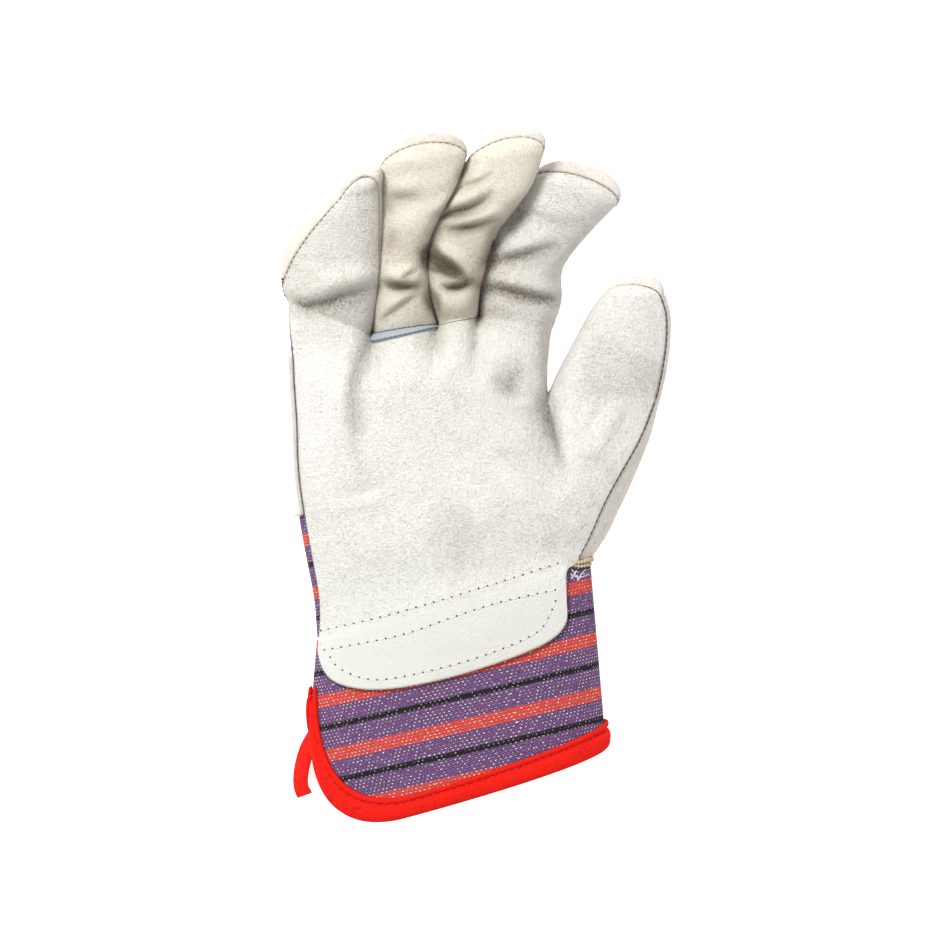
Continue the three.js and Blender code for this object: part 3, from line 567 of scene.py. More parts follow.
@dataclass
class CuffForm:
    """The safety cuff's sizes and its surface."""

    top_width: float = 114.0
    hem_width: float = 127.0
    length: float = 75.0
    depth: float = 16.0
    slant: float = math.radians(16.3)
    across: float = 0.09
    along: float = -0.57
    slit_angle: float = math.radians(12.0)
    slit_start: float = 0.28
    corner_reach: float = math.radians(60.0)
    slit_turn: float = math.radians(22.0)
    roundness: float = 0.85
    corner_share: float = 0.5
    back_hem: float = 0.96
    hem_bow: float = 0.06
    fullness: float = 0.6
    gather: float = 0.8

    def loops(self, down: np.ndarray) -> Loops:
        """The cuff's loops at shares of its length."""
        half = (self.top_width + (self.hem_width - self.top_width) * down)[:, None] / 2
        centre = np.stack([
            np.full(len(down), self.across * PALM_WIDTH),
            self.along * PALM_LENGTH - down * self.length,
            np.full(len(down), SEAM_HEIGHT),
        ], 1)
        across = np.array([math.cos(self.slant), math.sin(self.slant), 0.0])
        up = np.tile(np.array([0.0, 0.0, 1.0]), (len(down), 1))
        front = np.full(len(down), self.depth)
        left, right = centre - across * half, centre + across * half
        return Loops(left, right, up, front, front + REST, self.fullness)

    def points(self, angles: np.ndarray, down: np.ndarray, grow: float, lift: float = 0.0) -> np.ndarray:
        """Points at an angle and a share of the length each, in any array shape."""
        flat = self.loops(down.ravel()).surface(angles.ravel()[:, None], grow, Side.PALM, lift)
        return flat[:, 0, :].reshape(angles.shape + (3,))

    def edge(self, side: Side, share: np.ndarray) -> tuple[np.ndarray, np.ndarray]:
        """The cuff's edge from the slit round the corner and along the hem.

        Args:
            side: the face that the edge is on.
            share: places from the slit's top to the far side.

        Returns:
            The loop angle and the share of the cuff's length at each place.
        """
        turn = np.minimum(share / self.corner_share, 1) * (math.pi / 2)
        straight = np.maximum(share - self.corner_share, 0) / (1 - self.corner_share)
        aside = 0.0
        if side is Side.BACK:
            aside = 2 * self.slit_angle * np.minimum(turn / self.slit_turn, 1)
        reach = math.pi - side.value * self.slit_angle
        rounded = aside + self.corner_reach * (1 - np.cos(turn)) ** self.roundness
        spread = rounded + (reach - rounded) * straight
        if side is Side.PALM:
            hem = 1 + self.hem_bow * np.sin(self.slit_angle + spread)
        else:
            hem = self.back_hem + (1 - self.back_hem) * straight
        along = self.slit_start + (hem - self.slit_start) * np.sin(turn)
        return self.slit_angle + side.value * spread, along

    def grid(self, side: Side, rows: int, cols: int, grow: float) -> np.ndarray:
        """The cuff's face as a grid, slit column first.

        Args:
            side: the face.
            rows: rows from the wrist to the edge.
            cols: columns from the slit to the far side.
            grow: how far outside the loop the points lie.

        Returns:
            The points, by row and column.
        """
        share = np.linspace(0, 1, cols + 1)
        down = np.linspace(0, 1, rows + 1)[:, None]
        edge_angle, edge_along = self.edge(side, share)
        reach = math.pi - side.value * self.slit_angle
        top_angle = self.slit_angle + side.value * reach * share**self.gather
        angles = top_angle + (edge_angle - top_angle) * down
        along = GAP / self.length + (edge_along - GAP / self.length) * down
        return self.points(angles, along, grow)


CUFF = CuffForm()


def crotch_points() -> list[np.ndarray]:
    """The palm's left corner, the three crotches and the right corner, at the finger roots."""
    top = palm_loops(np.array([KNUCKLE_ROWS[-1]]))
    inner = [np.array([x * PALM_WIDTH, y * PALM_LENGTH, SEAM_HEIGHT]) for x, y in CROTCHES]
    return [top.left[0], *inner, top.right[0]]


def digit_roots() -> dict[str, tuple[np.ndarray, np.ndarray]]:
    """Each digit's left and right root points, half a gap inside the crotches."""
    ends = crotch_points()
    inset = np.array([GAP / 2, 0, 0])
    roots = {}
    for i, name in enumerate(FINGERS):
        roots[name] = (ends[i] + (inset if i else 0), ends[i + 1] - (inset if i < 3 else 0))
    web = palm_loops(np.array([KNUCKLE_ROWS[0]])).right[0]
    base = palm_loops(np.array([THUMB_BASE_ROWS[-1]])).right[0]
    roots["thumb"] = (web + 2 * inset, base)
    return roots


ROOTS = digit_roots()


@dataclass
class DigitForm:
    """A digit's surface, from its root to its tip."""

    name: str
    rows: int = 90
    cols: int = 32
    dome: int = 14
    tip_inset: float = 3.5
    tip_swell: float = 1.3
    root_share: float = 1 / 9
    turn_share: float = 1 / 3
    fullness: float = 0.8
    inner_seam: float = 0.3
    middle_seam: float = 0.5
    loops: Loops = field(init=False)
    tip: np.ndarray = field(init=False)
    tip_along: np.ndarray = field(init=False)

    def __post_init__(self) -> None:
        """Works out the loops: ends from the table, normals square to the digit's own run."""
        digit = DIGITS[self.name]
        left_root, right_root = ROOTS[self.name]
        lean = math.radians(digit.lean)
        along = np.array([math.sin(lean), math.cos(lean), 0.0])
        across = np.array([math.cos(lean), -math.sin(lean), 0.0])
        up = np.array([0.0, 0.0, 1.0])
        middle = (left_root + right_root) / 2
        t = np.linspace(0, 1, self.rows + 1)
        table = smooth_rows(np.array(digit.sections, float), t)
        scale = np.array([digit.length, digit.width, digit.rise])
        axes = np.stack([along, across, up])
        left = middle + (table[:, 0:3] * scale) @ axes
        right = middle + (table[:, 3:6] * scale) @ axes
        blend = np.clip(1 - t / self.root_share, 0, 1)[:, None]
        left += blend * (left_root - left[0])
        right += blend * (right_root - right[0])
        forward = np.gradient(left + right, axis=0)
        square = unit(np.cross(right - left, forward))
        settle = np.clip(t / self.turn_share, 0, 1)[:, None]
        normal = unit(up * (1 - settle) + square * settle)
        front = table[:, 6] * digit.depth
        back = table[:, 7] * digit.depth
        seam = np.radians(table[:, 8])
        self.loops = Loops(left, right, normal, front, back, self.fullness, seam)
        self.tip = middle + along * digit.length + up * digit.rise
        self.tip_along = unit(along + up)

    def seams(self) -> tuple[np.ndarray, np.ndarray]:
        """The left and right seam angles: only an outer edge has its seam on the front."""
        seam = self.loops.seam
        if self.name == "little":
            return seam, self.inner_seam * (seam - SIDE_SEAM)
        if self.name == "thumb":
            return np.zeros_like(seam), seam
        return self.middle_seam * seam, self.middle_seam * seam

    def panel(self, side: Side, grow: float) -> np.ndarray:
        """The front or back panel, with a dome that closes to one point at the tip.

        Args:
            side: the face.
            grow: how far outside the loops the points lie.

        Returns:
            The points, by row from the root and by column.
        """
        left_seam, right_seam = self.seams()
        shares = np.linspace(0, 1, self.cols + 1)
        angles = panel_angles(side, shares[None, :], left_seam[:, None], right_seam[:, None])
        body = self.loops.surface(angles, grow, side)
        centre = (self.loops.left[-1] + self.loops.right[-1]) / 2
        lift = self.loops.normal[-1] * side.value * GAP / 2
        point = self.tip + self.tip_along * grow + lift
        centre = centre + lift
        point = point + (self.loops.normal[-1] - self.tip_along) * self.tip_inset
        turn = (np.linspace(0, 1, self.dome + 1)[1:] * math.pi / 2)[:, None, None]
        middle = centre + (point - centre) * np.sin(turn)
        cap = middle + (body[-1] - centre) * np.cos(turn)
        if side is Side.BACK:
            across = np.sqrt(np.sin(np.pi * shares))[None, :, None]
            cap = cap + self.tip_along * (self.tip_swell * self.tip_inset * np.sin(2 * turn) * across)
        cap[-1] = point
        return np.concatenate([body, cap])


@dataclass
class HandForm:
    """The hand's surface between the wrist and the digits."""

    digits: dict[str, DigitForm]
    cols: int = 32
    knuckle_steps: int = 60
    base_steps: int = 76
    web_fade: float = 30.0
    thumb_fade: float = 42.0
    fade_power: float = 1.3
    tab_rows: int = 30
    tab_share: float = 1 / 6
    tab_lift_back: float = 0.2
    tab_lift_run: Place = (0.3, 0.3, 1.0)

    @staticmethod
    def bounds(side: Side) -> np.ndarray:
        """Where the fingers meet along a panel, as shares from 0 to 1."""
        ends = crotch_points()
        width = ends[-1][0] - ends[0][0]
        angles = [math.acos(1 - 2 * (p[0] - ends[0][0]) / width) for p in ends[1:4]]
        return np.array([0.0, *[panel_share(side, a, SIDE_SEAM, 0.0) for a in angles], 1.0])

    def shares(self, bounds: np.ndarray) -> np.ndarray:
        """Column shares for each row of digit bounds, with a gap between neighbours."""
        half = 0.5 * GAP / PALM_WIDTH
        last = bounds.shape[1] - 2
        blocks = []
        for k in range(last + 1):
            start = bounds[:, k : k + 1] + (half if k else 0)
            end = bounds[:, k + 1 : k + 2] - (half if k < last else 0)
            blocks.append(start + (end - start) * np.linspace(0, 1, self.cols + 1))
        return np.concatenate(blocks, axis=1)

    def bent(self, rows: np.ndarray, target: np.ndarray, fade: float, grow: float) -> np.ndarray:
        """Rows bent so that the last meets a target.

        Args:
            rows: the points, by row and column.
            target: the points that the last row is moved to.
            fade: the distance from the last row at which the bend has faded out.
            grow: how far outside the form the points lie.

        Returns:
            The bent rows, none of them under the floor's clearance.
        """
        middle = (rows[:, 0, :2] + rows[:, -1, :2]) / 2
        distance = np.linalg.norm(middle - middle[-1], axis=1)
        weight = np.clip(1 - distance / fade, 0, 1) ** self.fade_power
        out = rows + (target - rows[-1]) * weight[:, None, None]
        out[..., 2] = np.maximum(out[..., 2], REST - grow)
        return out

    def knuckles(self, side: Side, grow: float) -> np.ndarray:
        """The panel from the thumb's crotch to the finger roots."""
        rows = smooth_rows(np.array(KNUCKLE_ROWS, float), np.linspace(0, 1, self.knuckle_steps + 1))
        bounds = np.tile(self.bounds(side), (len(rows), 1))
        angles = panel_angles(side, self.shares(bounds), SIDE_SEAM, 0.0)
        surface = palm_loops(rows).surface(angles, grow, side)
        target = np.concatenate([self.digits[n].panel(side, grow)[0] for n in FINGERS])
        return self.bent(surface, target, self.web_fade, grow)

    def base_angles(self, side: Side, seam: np.ndarray) -> np.ndarray:
        """The loop angles of the columns, by rows whose thumb seam lies at shares of the width."""
        right = float(self.digits["thumb"].seams()[1][0])
        share = panel_share(side, np.arccos(1 - 2 * seam), SIDE_SEAM, right)
        bounds = np.hstack([self.bounds(side) * share[:, None], np.ones((len(seam), 1))])
        return panel_angles(side, self.shares(bounds), SIDE_SEAM, right)

    def thumb_base(self, side: Side, grow: float) -> np.ndarray:
        """The panel from the wrist to the thumb's crotch.

        Its first rows stand out by a wall and a gap, since the palm's tab lies over the cuff.

        Args:
            side: the face.
            grow: how far outside the form the points lie.

        Returns:
            The points, by row from the wrist and by column.
        """
        table = np.array(THUMB_BASE_ROWS, float)
        wrist = CUFF.loops(np.zeros(1))
        scale = np.array([PALM_WIDTH, PALM_LENGTH, PALM_WIDTH, PALM_LENGTH])
        wrist_row = np.array([*wrist.left[0, :2], *wrist.right[0, :2]]) / scale
        first = np.array([*wrist_row, wrist.front[0] / PALM_DEPTH, WRIST_SEAM])
        t = np.linspace(0, 1, self.base_steps + 1)
        rows = smooth_rows(np.vstack([first, table]), t)
        loops = palm_loops(rows)
        surface = loops.surface(self.base_angles(side, rows[:, 5]), grow, side)
        centre = (loops.left + loops.right)[:, None, :] / 2
        outward = unit((surface - centre) * np.array(self.tab_lift_run))
        lift = (LEATHER + GAP) * np.clip(1 - t / self.tab_share, 0, 1)[:, None, None]
        surface = surface + outward * lift * (1.0 if side is Side.PALM else self.tab_lift_back)
        target = np.concatenate([self.knuckles(side, grow)[0], self.digits["thumb"].panel(side, grow)[0]])
        return self.bent(surface, target, self.thumb_fade, grow)

    def tab(self, grow: float) -> np.ndarray:
        """The tab over the cuff: the palm's wrist row above, the rounded edge below.

        Args:
            grow: how far outside the palm's wall the points lie.

        Returns:
            The points, by rows down and columns across.
        """
        start = self.base_angles(Side.PALM, np.array([WRIST_SEAM]))[0]
        last = int(np.searchsorted(start, math.acos(1 - 2 * TAB_EDGE[-1][0])))
        top = self.thumb_base(Side.PALM, grow)[:1, : last + 1]
        edge = smooth_rows(np.array(TAB_EDGE), np.linspace(0, 1, last + 1))
        end = np.arccos(1 - 2 * edge[:, 0])
        down = np.linspace(0, 1, self.tab_rows + 1)[1:, None]
        angles = start[: last + 1] + (end - start[: last + 1]) * down
        below = CUFF.points(angles, edge[:, 1] * down, grow + LEATHER + GAP, GAP / 2)
        return np.concatenate([top, below])


@dataclass
class Patch:
    """A piece of wall: its outer and inner grids, and whether they turn the other way."""

    outer: np.ndarray
    inner: np.ndarray
    flip: bool = False


@dataclass
class Skin:
    """A built wall: its object, its outer points, normals, rim and painted-shade values, and each patch's
    corner numbers.
    """

    obj: bpy.types.Object
    points: np.ndarray
    normals: np.ndarray
    rim_and_shade: np.ndarray
    grids: list[np.ndarray]

    PATH_STEPS = 80
    PATH_PITCH = 1.0
    NEIGHBOURS = 4
    FACING = 0.1
    SOFTNESS = 0.2

    def over(self, ids: np.ndarray, height: float) -> np.ndarray:
        """Points over corners of the wall, at a height along its normals."""
        return self.points[ids] + self.normals[ids] * height

    def drop(self, plan: tuple[tuple[float, float], ...]) -> tuple[np.ndarray, np.ndarray]:
        """A smooth path in plan, dropped onto the upper face of the wall.

        The height is a mean of the nearest corners, weighted by one over their distance.

        Args:
            plan: the path's places across and along.

        Returns:
            The points on the wall and its normals there.
        """
        facing = np.flatnonzero(self.normals[:, 2] > self.FACING)
        curve = smooth_rows(np.array(plan, float), np.linspace(0, 1, self.PATH_STEPS))
        path = even_steps(curve, self.PATH_PITCH)
        away = np.linalg.norm(path[:, None, :] - self.points[facing][None, :, :2], axis=2)
        near = np.argpartition(away, self.NEIGHBOURS, axis=1)[:, : self.NEIGHBOURS]
        ids = facing[near]
        weight = 1 / (np.take_along_axis(away, near, 1) + self.SOFTNESS)
        weight = (weight / weight.sum(1, keepdims=True))[..., None]
        points = (self.points[ids] * weight).sum(1)
        points[:, :2] = path
        return points, unit((self.normals[ids] * weight).sum(1))


def neighbour_sums(values: np.ndarray, pairs: np.ndarray, count: int) -> np.ndarray:
    """For each corner, the sum of the values of the corners that its pairs lead to."""
    columns = [
        np.bincount(pairs[:, 0], weights=column[pairs[:, 1]], minlength=count) for column in values.T
    ]
    return np.stack(columns, 1)


@dataclass
class Web:
    """The links between a skin's corners: all edges, and those along open rims, both ways."""

    edges: np.ndarray
    rim: np.ndarray

    def relaxed(self, points: np.ndarray, rounds: int) -> np.ndarray:
        """Values drawn towards the mean of their neighbours, those on the rim along the rim only.

        Args:
            points: a row of values for each corner.
            rounds: how many times.

        Returns:
            The smoother values.
        """
        on_rim = np.zeros(len(points), bool)
        on_rim[self.rim.ravel()] = True
        pairs = np.concatenate([self.edges[~on_rim[self.edges[:, 0]]], self.rim])
        count = np.maximum(np.bincount(pairs[:, 0], minlength=len(points)), 1)[:, None]
        for _ in range(rounds):
            points = points * 0.5 + neighbour_sums(points, pairs, len(points)) / count * 0.5
        return points


def corner_normals(points: np.ndarray, tris: np.ndarray) -> np.ndarray:
    """Unit normals at corners: the sum of the cross products of the triangles that meet there."""
    a, b, c = (points[tris[:, k]] for k in range(3))
    face = np.cross(b - a, c - a)
    number = np.repeat(np.arange(len(tris)), 3)
    return unit(neighbour_sums(face, np.stack([tris.ravel(), number], 1), len(points)))


def weld(patches: list[Patch]) -> tuple[np.ndarray, np.ndarray, list[np.ndarray]]:
    """Patches joined where they share both their outer and inner points.

    Args:
        patches: the grids.

    Returns:
        The corners as outer and inner places in a row, the triangles of one skin, and each
        patch's corner numbers.
    """
    pairs, quads, grids = [], [], []
    base = 0
    for patch in patches:
        r, c, _ = patch.outer.shape
        pairs.append(np.concatenate([patch.outer, patch.inner], axis=2).reshape(-1, 6))
        ids = base + np.arange(r * c).reshape(r, c)
        quad = np.stack([ids[:-1, :-1], ids[:-1, 1:], ids[1:, 1:], ids[1:, :-1]], axis=2).reshape(-1, 4)
        quads.append(quad[:, ::-1] if patch.flip else quad)
        grids.append(ids)
        base += r * c
    all_pairs = np.concatenate(pairs)
    rounded = np.round(all_pairs, WELD_DIGITS)
    _, first, where = np.unique(rounded, axis=0, return_index=True, return_inverse=True)
    where = where.reshape(-1)
    quad_ids = where[np.concatenate(quads)]
    tris = np.concatenate([quad_ids[:, [0, 1, 2]], quad_ids[:, [0, 2, 3]]])
    same = (tris[:, 0] == tris[:, 1]) | (tris[:, 1] == tris[:, 2]) | (tris[:, 2] == tris[:, 0])
    return all_pairs[first], tris[~same], [where[ids] for ids in grids]


def build_wall(name: str, patches: list[Patch], rounds: int = 0, gain: float = 0.0) -> Skin:
    """A closed wall from patches.

    Both skins are relaxed, and then lifted by the folds. A strip of faces closes every open
    edge between the two skins. The vertex attribute of rim and shade values holds how near an
    open edge is, how far a corner lies under the mean of its surroundings, which sets the
    painted shade in hollows, and the amount of painted shade from the folds and shaded places.

    Args:
        name: the piece's name.
        patches: the grids.
        rounds: how many times the skins are relaxed.
        gain: a factor on the folds' heights, or 0 for no folds and no painted shade.

    Returns:
        The wall.
    """
    corners, tris, grids = weld(patches)
    n = len(corners)
    edges = np.concatenate([tris[:, [0, 1]], tris[:, [1, 2]], tris[:, [2, 0]]])
    rim = edges[~np.isin(edges[:, 0] * n + edges[:, 1], edges[:, 1] * n + edges[:, 0])]
    both_ways = np.unique(np.concatenate([edges, edges[:, ::-1]]), axis=0)
    web = Web(both_ways, np.concatenate([rim, rim[:, ::-1]]))
    outer, inner = (web.relaxed(skin, rounds) for skin in (corners[:, :3], corners[:, 3:]))
    painted_shade = np.zeros(n)
    if gain:
        # Painted shade: the leather's colour is darkened where folds and neighbouring fingers shade it.
        painted_shade = painted_shade_amount(outer)
        lift = gain * fold_height(outer)
        outer[:, 2] += lift
        inner[:, 2] += lift
    normals = corner_normals(outer, tris)
    # How far a corner lies under its surroundings, which sets the painted shade in hollows.
    sunk = ((web.relaxed(outer, HOLLOW_ROUNDS) - outer) * normals).sum(1)
    on_rim = np.zeros((n, 1))
    on_rim[rim.ravel()] = 1
    near = web.relaxed(on_rim, RIM_ROUNDS)[:, 0]
    walls = np.concatenate([
        np.stack([rim[:, 1], rim[:, 0], rim[:, 0] + n], 1),
        np.stack([rim[:, 1], rim[:, 0] + n, rim[:, 1] + n], 1),
    ])
    faces = np.concatenate([tris, tris[:, ::-1] + n, walls])
    rim_and_shade = np.stack([near, sunk, painted_shade], 1)
    obj = mesh_object(name, np.concatenate([outer, inner]), faces, np.concatenate([rim_and_shade, rim_and_shade]))
    return Skin(obj, outer, normals, rim_and_shade, grids)


def mesh_object(
    name: str, verts: np.ndarray, tris: np.ndarray, rim_and_shade: np.ndarray | None = None
) -> bpy.types.Object:
    """A smooth-shaded object.

    Args:
        name: the piece's name.
        verts: the vertices, in millimetres.
        tris: the triangles.
        rim_and_shade: three numbers for each vertex, kept as a vertex attribute: how near a rim, how sunk in
            a hollow, and how much painted shade.

    Returns:
        The object, linked to the scene.
    """
    mesh = bpy.data.meshes.new(name)
    mesh.vertices.add(len(verts))
    mesh.vertices.foreach_set("co", (verts * MM).astype(np.float32).ravel())
    mesh.loops.add(len(tris) * 3)
    mesh.loops.foreach_set("vertex_index", tris.astype(np.int32).ravel())
    mesh.polygons.add(len(tris))
    mesh.polygons.foreach_set("loop_start", np.arange(0, len(tris) * 3, 3, dtype=np.int32))
    mesh.polygons.foreach_set("loop_total", np.full(len(tris), 3, dtype=np.int32))
    mesh.polygons.foreach_set("use_smooth", np.ones(len(tris), dtype=bool))
    mesh.update(calc_edges=True)
    mesh.validate()
    if rim_and_shade is not None:
        layer = mesh.attributes.new("rim_and_shade", "FLOAT_VECTOR", "POINT")
        layer.data.foreach_set("vector", rim_and_shade.astype(np.float32).ravel())
    obj = bpy.data.objects.new(name, mesh)
    bpy.context.scene.collection.objects.link(obj)
    return obj


class Value:
    """A shader socket that holds a number, with Python's operators as Math nodes."""

    def __init__(self, graph: "Graph", socket: bpy.types.NodeSocket) -> None:
        """Keeps the graph and the socket."""
        self.graph = graph
        self.socket = socket

    def _math(self, operation: str, *others: "Value | float") -> "Value":
        """A Math node on this value and others."""
        return self.graph.math(operation, self, *others)

    def __add__(self, other: "Value | float") -> "Value":
        """The sum."""
        return self._math("ADD", other)

    __radd__ = __add__

    def __mul__(self, other: "Value | float") -> "Value":
        """The product."""
        return self._math("MULTIPLY", other)

    __rmul__ = __mul__

    def __sub__(self, other: "Value | float") -> "Value":
        """The difference."""
        return self._math("SUBTRACT", other)

    def __rsub__(self, other: float) -> "Value":
        """A number less this value."""
        return self.graph.math("SUBTRACT", other, self)

    def __truediv__(self, other: "Value | float") -> "Value":
        """The quotient."""
        return self._math("DIVIDE", other)

    def ramp(self, low: float, high: float) -> "Value":
        """A smooth step from 0 at low to 1 at high."""
        settings = {"interpolation_type": "SMOOTHSTEP"}
        inputs = {"Value": self, "From Min": low, "From Max": high}
        return Value(self.graph, self.graph.node("ShaderNodeMapRange", settings, inputs).outputs["Result"])


class Graph:
    """A material's node tree with short ways to add nodes."""

    def __init__(self, name: str) -> None:
        """Makes a material with one Principled shader."""
        self.material = bpy.data.materials.new(name)
        self.material.use_nodes = True
        self.tree = self.material.node_tree
        self.shader = self.tree.nodes["Principled BSDF"]

    def node(self, kind: str, settings: dict | None = None, inputs: dict | None = None) -> bpy.types.Node:
        """A node of a type, with settings first and then the values or links of its sockets.

        Args:
            kind: the node's type.
            settings: attributes of the node.
            inputs: sockets by name or number.

        Returns:
            The node.
        """
        node = self.tree.nodes.new(kind)
        for key, value in (settings or {}).items():
            setattr(node, key, value)
        for key, value in (inputs or {}).items():
            self.feed(node.inputs[key], value)
        return node

    def feed(self, socket: bpy.types.NodeSocket, value: object) -> None:
        """Links a socket to a value or sets it to a constant."""
        if isinstance(value, Value):
            value = value.socket
        if isinstance(value, bpy.types.NodeSocket):
            self.tree.links.new(value, socket)
        elif socket.type == "RGBA" and len(value) == 3:
            socket.default_value = (*value, 1)
        else:
            socket.default_value = value

    def math(self, operation: str, *values: Value | float) -> Value:
        """A Math node on values."""
        inputs = dict(enumerate(values))
        return Value(self, self.node("ShaderNodeMath", {"operation": operation}, inputs).outputs[0])

    def place(self) -> bpy.types.NodeSocket:
        """The object coordinates."""
        return self.node("ShaderNodeTexCoord").outputs["Object"]

    def attribute(self, name: str) -> bpy.types.NodeSocket:
        """A vector attribute of the piece."""
        return self.node("ShaderNodeAttribute", {"attribute_name": name}).outputs["Vector"]

    def parts(self, vector: bpy.types.NodeSocket) -> tuple[Value, Value, Value]:
        """A vector's three numbers."""
        split = self.node("ShaderNodeSeparateXYZ", None, {0: vector})
        return tuple(Value(self, out) for out in split.outputs)

    def noise(
        self, at: bpy.types.NodeSocket, scale: float, detail: float = 3.0, rough: float = 0.55,
        warp: float = 0.0,
    ) -> Value:
        """Fractal noise from 0 to 1.

        Args:
            at: the coordinates.
            scale: turns per metre.
            detail: octaves.
            rough: how strong the finer octaves are.
            warp: the distortion.

        Returns:
            The noise.
        """
        inputs = {"Vector": at, "Scale": scale, "Detail": detail, "Roughness": rough, "Distortion": warp}
        return Value(self, self.node("ShaderNodeTexNoise", None, inputs).outputs["Fac"])

    def mix(self, factor: Value | float, a: object, b: object) -> bpy.types.NodeSocket:
        """A mix of two colours, all of the second where the factor is 1."""
        inputs = {0: factor, 6: a, 7: b}
        return self.node("ShaderNodeMix", {"data_type": "RGBA"}, inputs).outputs[2]

    def bump(self, height: Value, distance: float) -> bpy.types.NodeSocket:
        """A bump from a height, for a distance in metres."""
        return self.node("ShaderNodeBump", None, {"Height": height, "Distance": distance}).outputs["Normal"]

    def finish(self, **sockets: object) -> bpy.types.Material:
        """Feeds the shader's sockets, named with underscores, and returns the material."""
        for key, value in sockets.items():
            self.feed(self.shader.inputs[key.replace("_", " ")], value)
        return self.material


@dataclass(frozen=True)
class Suede:
    """Brushed split leather: a mottled pale ground, worn patches and a short fuzzy nap."""

    name: str
    pale: Color = (0.90, 0.885, 0.85)
    worn: Color = (0.56, 0.51, 0.41)
    # Dark flecks of the nap, and the colour of the painted shade.
    fleck_and_shade: Color = (0.13, 0.105, 0.07)
    pressed: Color = (0.57, 0.588, 0.565)
    nap: float = 0.0019
    grain: float = 0.6
    wrist: float = -0.060
    wrist_fade: float = 0.022
    patch_scale: float = 26
    clump_scale: float = 880
    fibre_scale: float = 2100
    fleck_scale: float = 900
    roughness: float = 0.97
    specular: float = 0.15

    def material(self) -> bpy.types.Material:
        """The material: worn patches, clumped nap with shaded roots, painted shade in folds, hollows and
        shaded places, and darker edges.

        The nap fades below the wrist, where the leather is pressed flat by its stitching, and
        the leather is tinted darker over the upper palm and the fingers, but not over the thumb.
        """
        g = Graph(self.name)
        at = g.place()
        near, sunk, painted_shade = g.parts(g.attribute("rim_and_shade"))
        x, y, _ = g.parts(at)
        brushed = y.ramp(self.wrist - self.wrist_fade, self.wrist + self.wrist_fade)
        napped = 0.35 + 0.65 * brushed
        # Darker over the upper palm and the fingers, but not the thumb.
        finger_darkening = y.ramp(0.004, 0.058) * (1 - x.ramp(0.055, 0.080))
        patches = g.noise(at, self.patch_scale, 5, 0.62, 0.5).ramp(0.46, 0.74)
        clumps = g.noise(at, self.clump_scale, 3, 0.75)
        fibres = g.noise(at, self.fibre_scale, 2, 0.7)
        roots = (1 - clumps.ramp(0.32, 0.60)) * 0.55 + (1 - fibres.ramp(0.32, 0.60)) * 0.45
        shade = roots * napped + (1 - napped) * 0.5
        flat = g.mix(patches * 0.25, self.pressed, self.worn)
        ground = g.mix(patches * 0.42 + finger_darkening * 0.24, self.pale, self.worn)
        ground = g.mix((1 - brushed) * 0.85, ground, flat)
        # The nap's shaded roots, stronger where shade is painted.
        color = g.mix(shade * (0.42 + painted_shade * 0.5), ground, self.worn)
        # Dark flecks, denser in worn patches and where shade is painted.
        dirt_and_shade = patches * 0.5 + painted_shade * 2.0 * self.grain + 0.12
        flecks = g.noise(at, self.fleck_scale, 2, 0.7).ramp(0.56, 0.70) * dirt_and_shade * napped
        color = g.mix(flecks * 0.6, color, self.fleck_and_shade)
        # Painted shade in folds, pockets and under neighbouring fingers.
        color = g.mix(painted_shade * (0.85 + (roots - 0.75) * self.grain), color, self.fleck_and_shade)
        # Painted shade in hollows, by how far a corner lies under its surroundings.
        color = g.mix(sunk.ramp(0.22, 1.5) * 0.62, color, self.fleck_and_shade)
        color = g.mix(near.ramp(0.45, 1.0) * 0.18, color, self.fleck_and_shade)
        normal = g.bump((clumps * 0.55 + fibres * 0.45) * napped, self.nap)
        return g.finish(
            Base_Color=color, Roughness=self.roughness, Specular_IOR_Level=self.specular, Normal=normal
        )


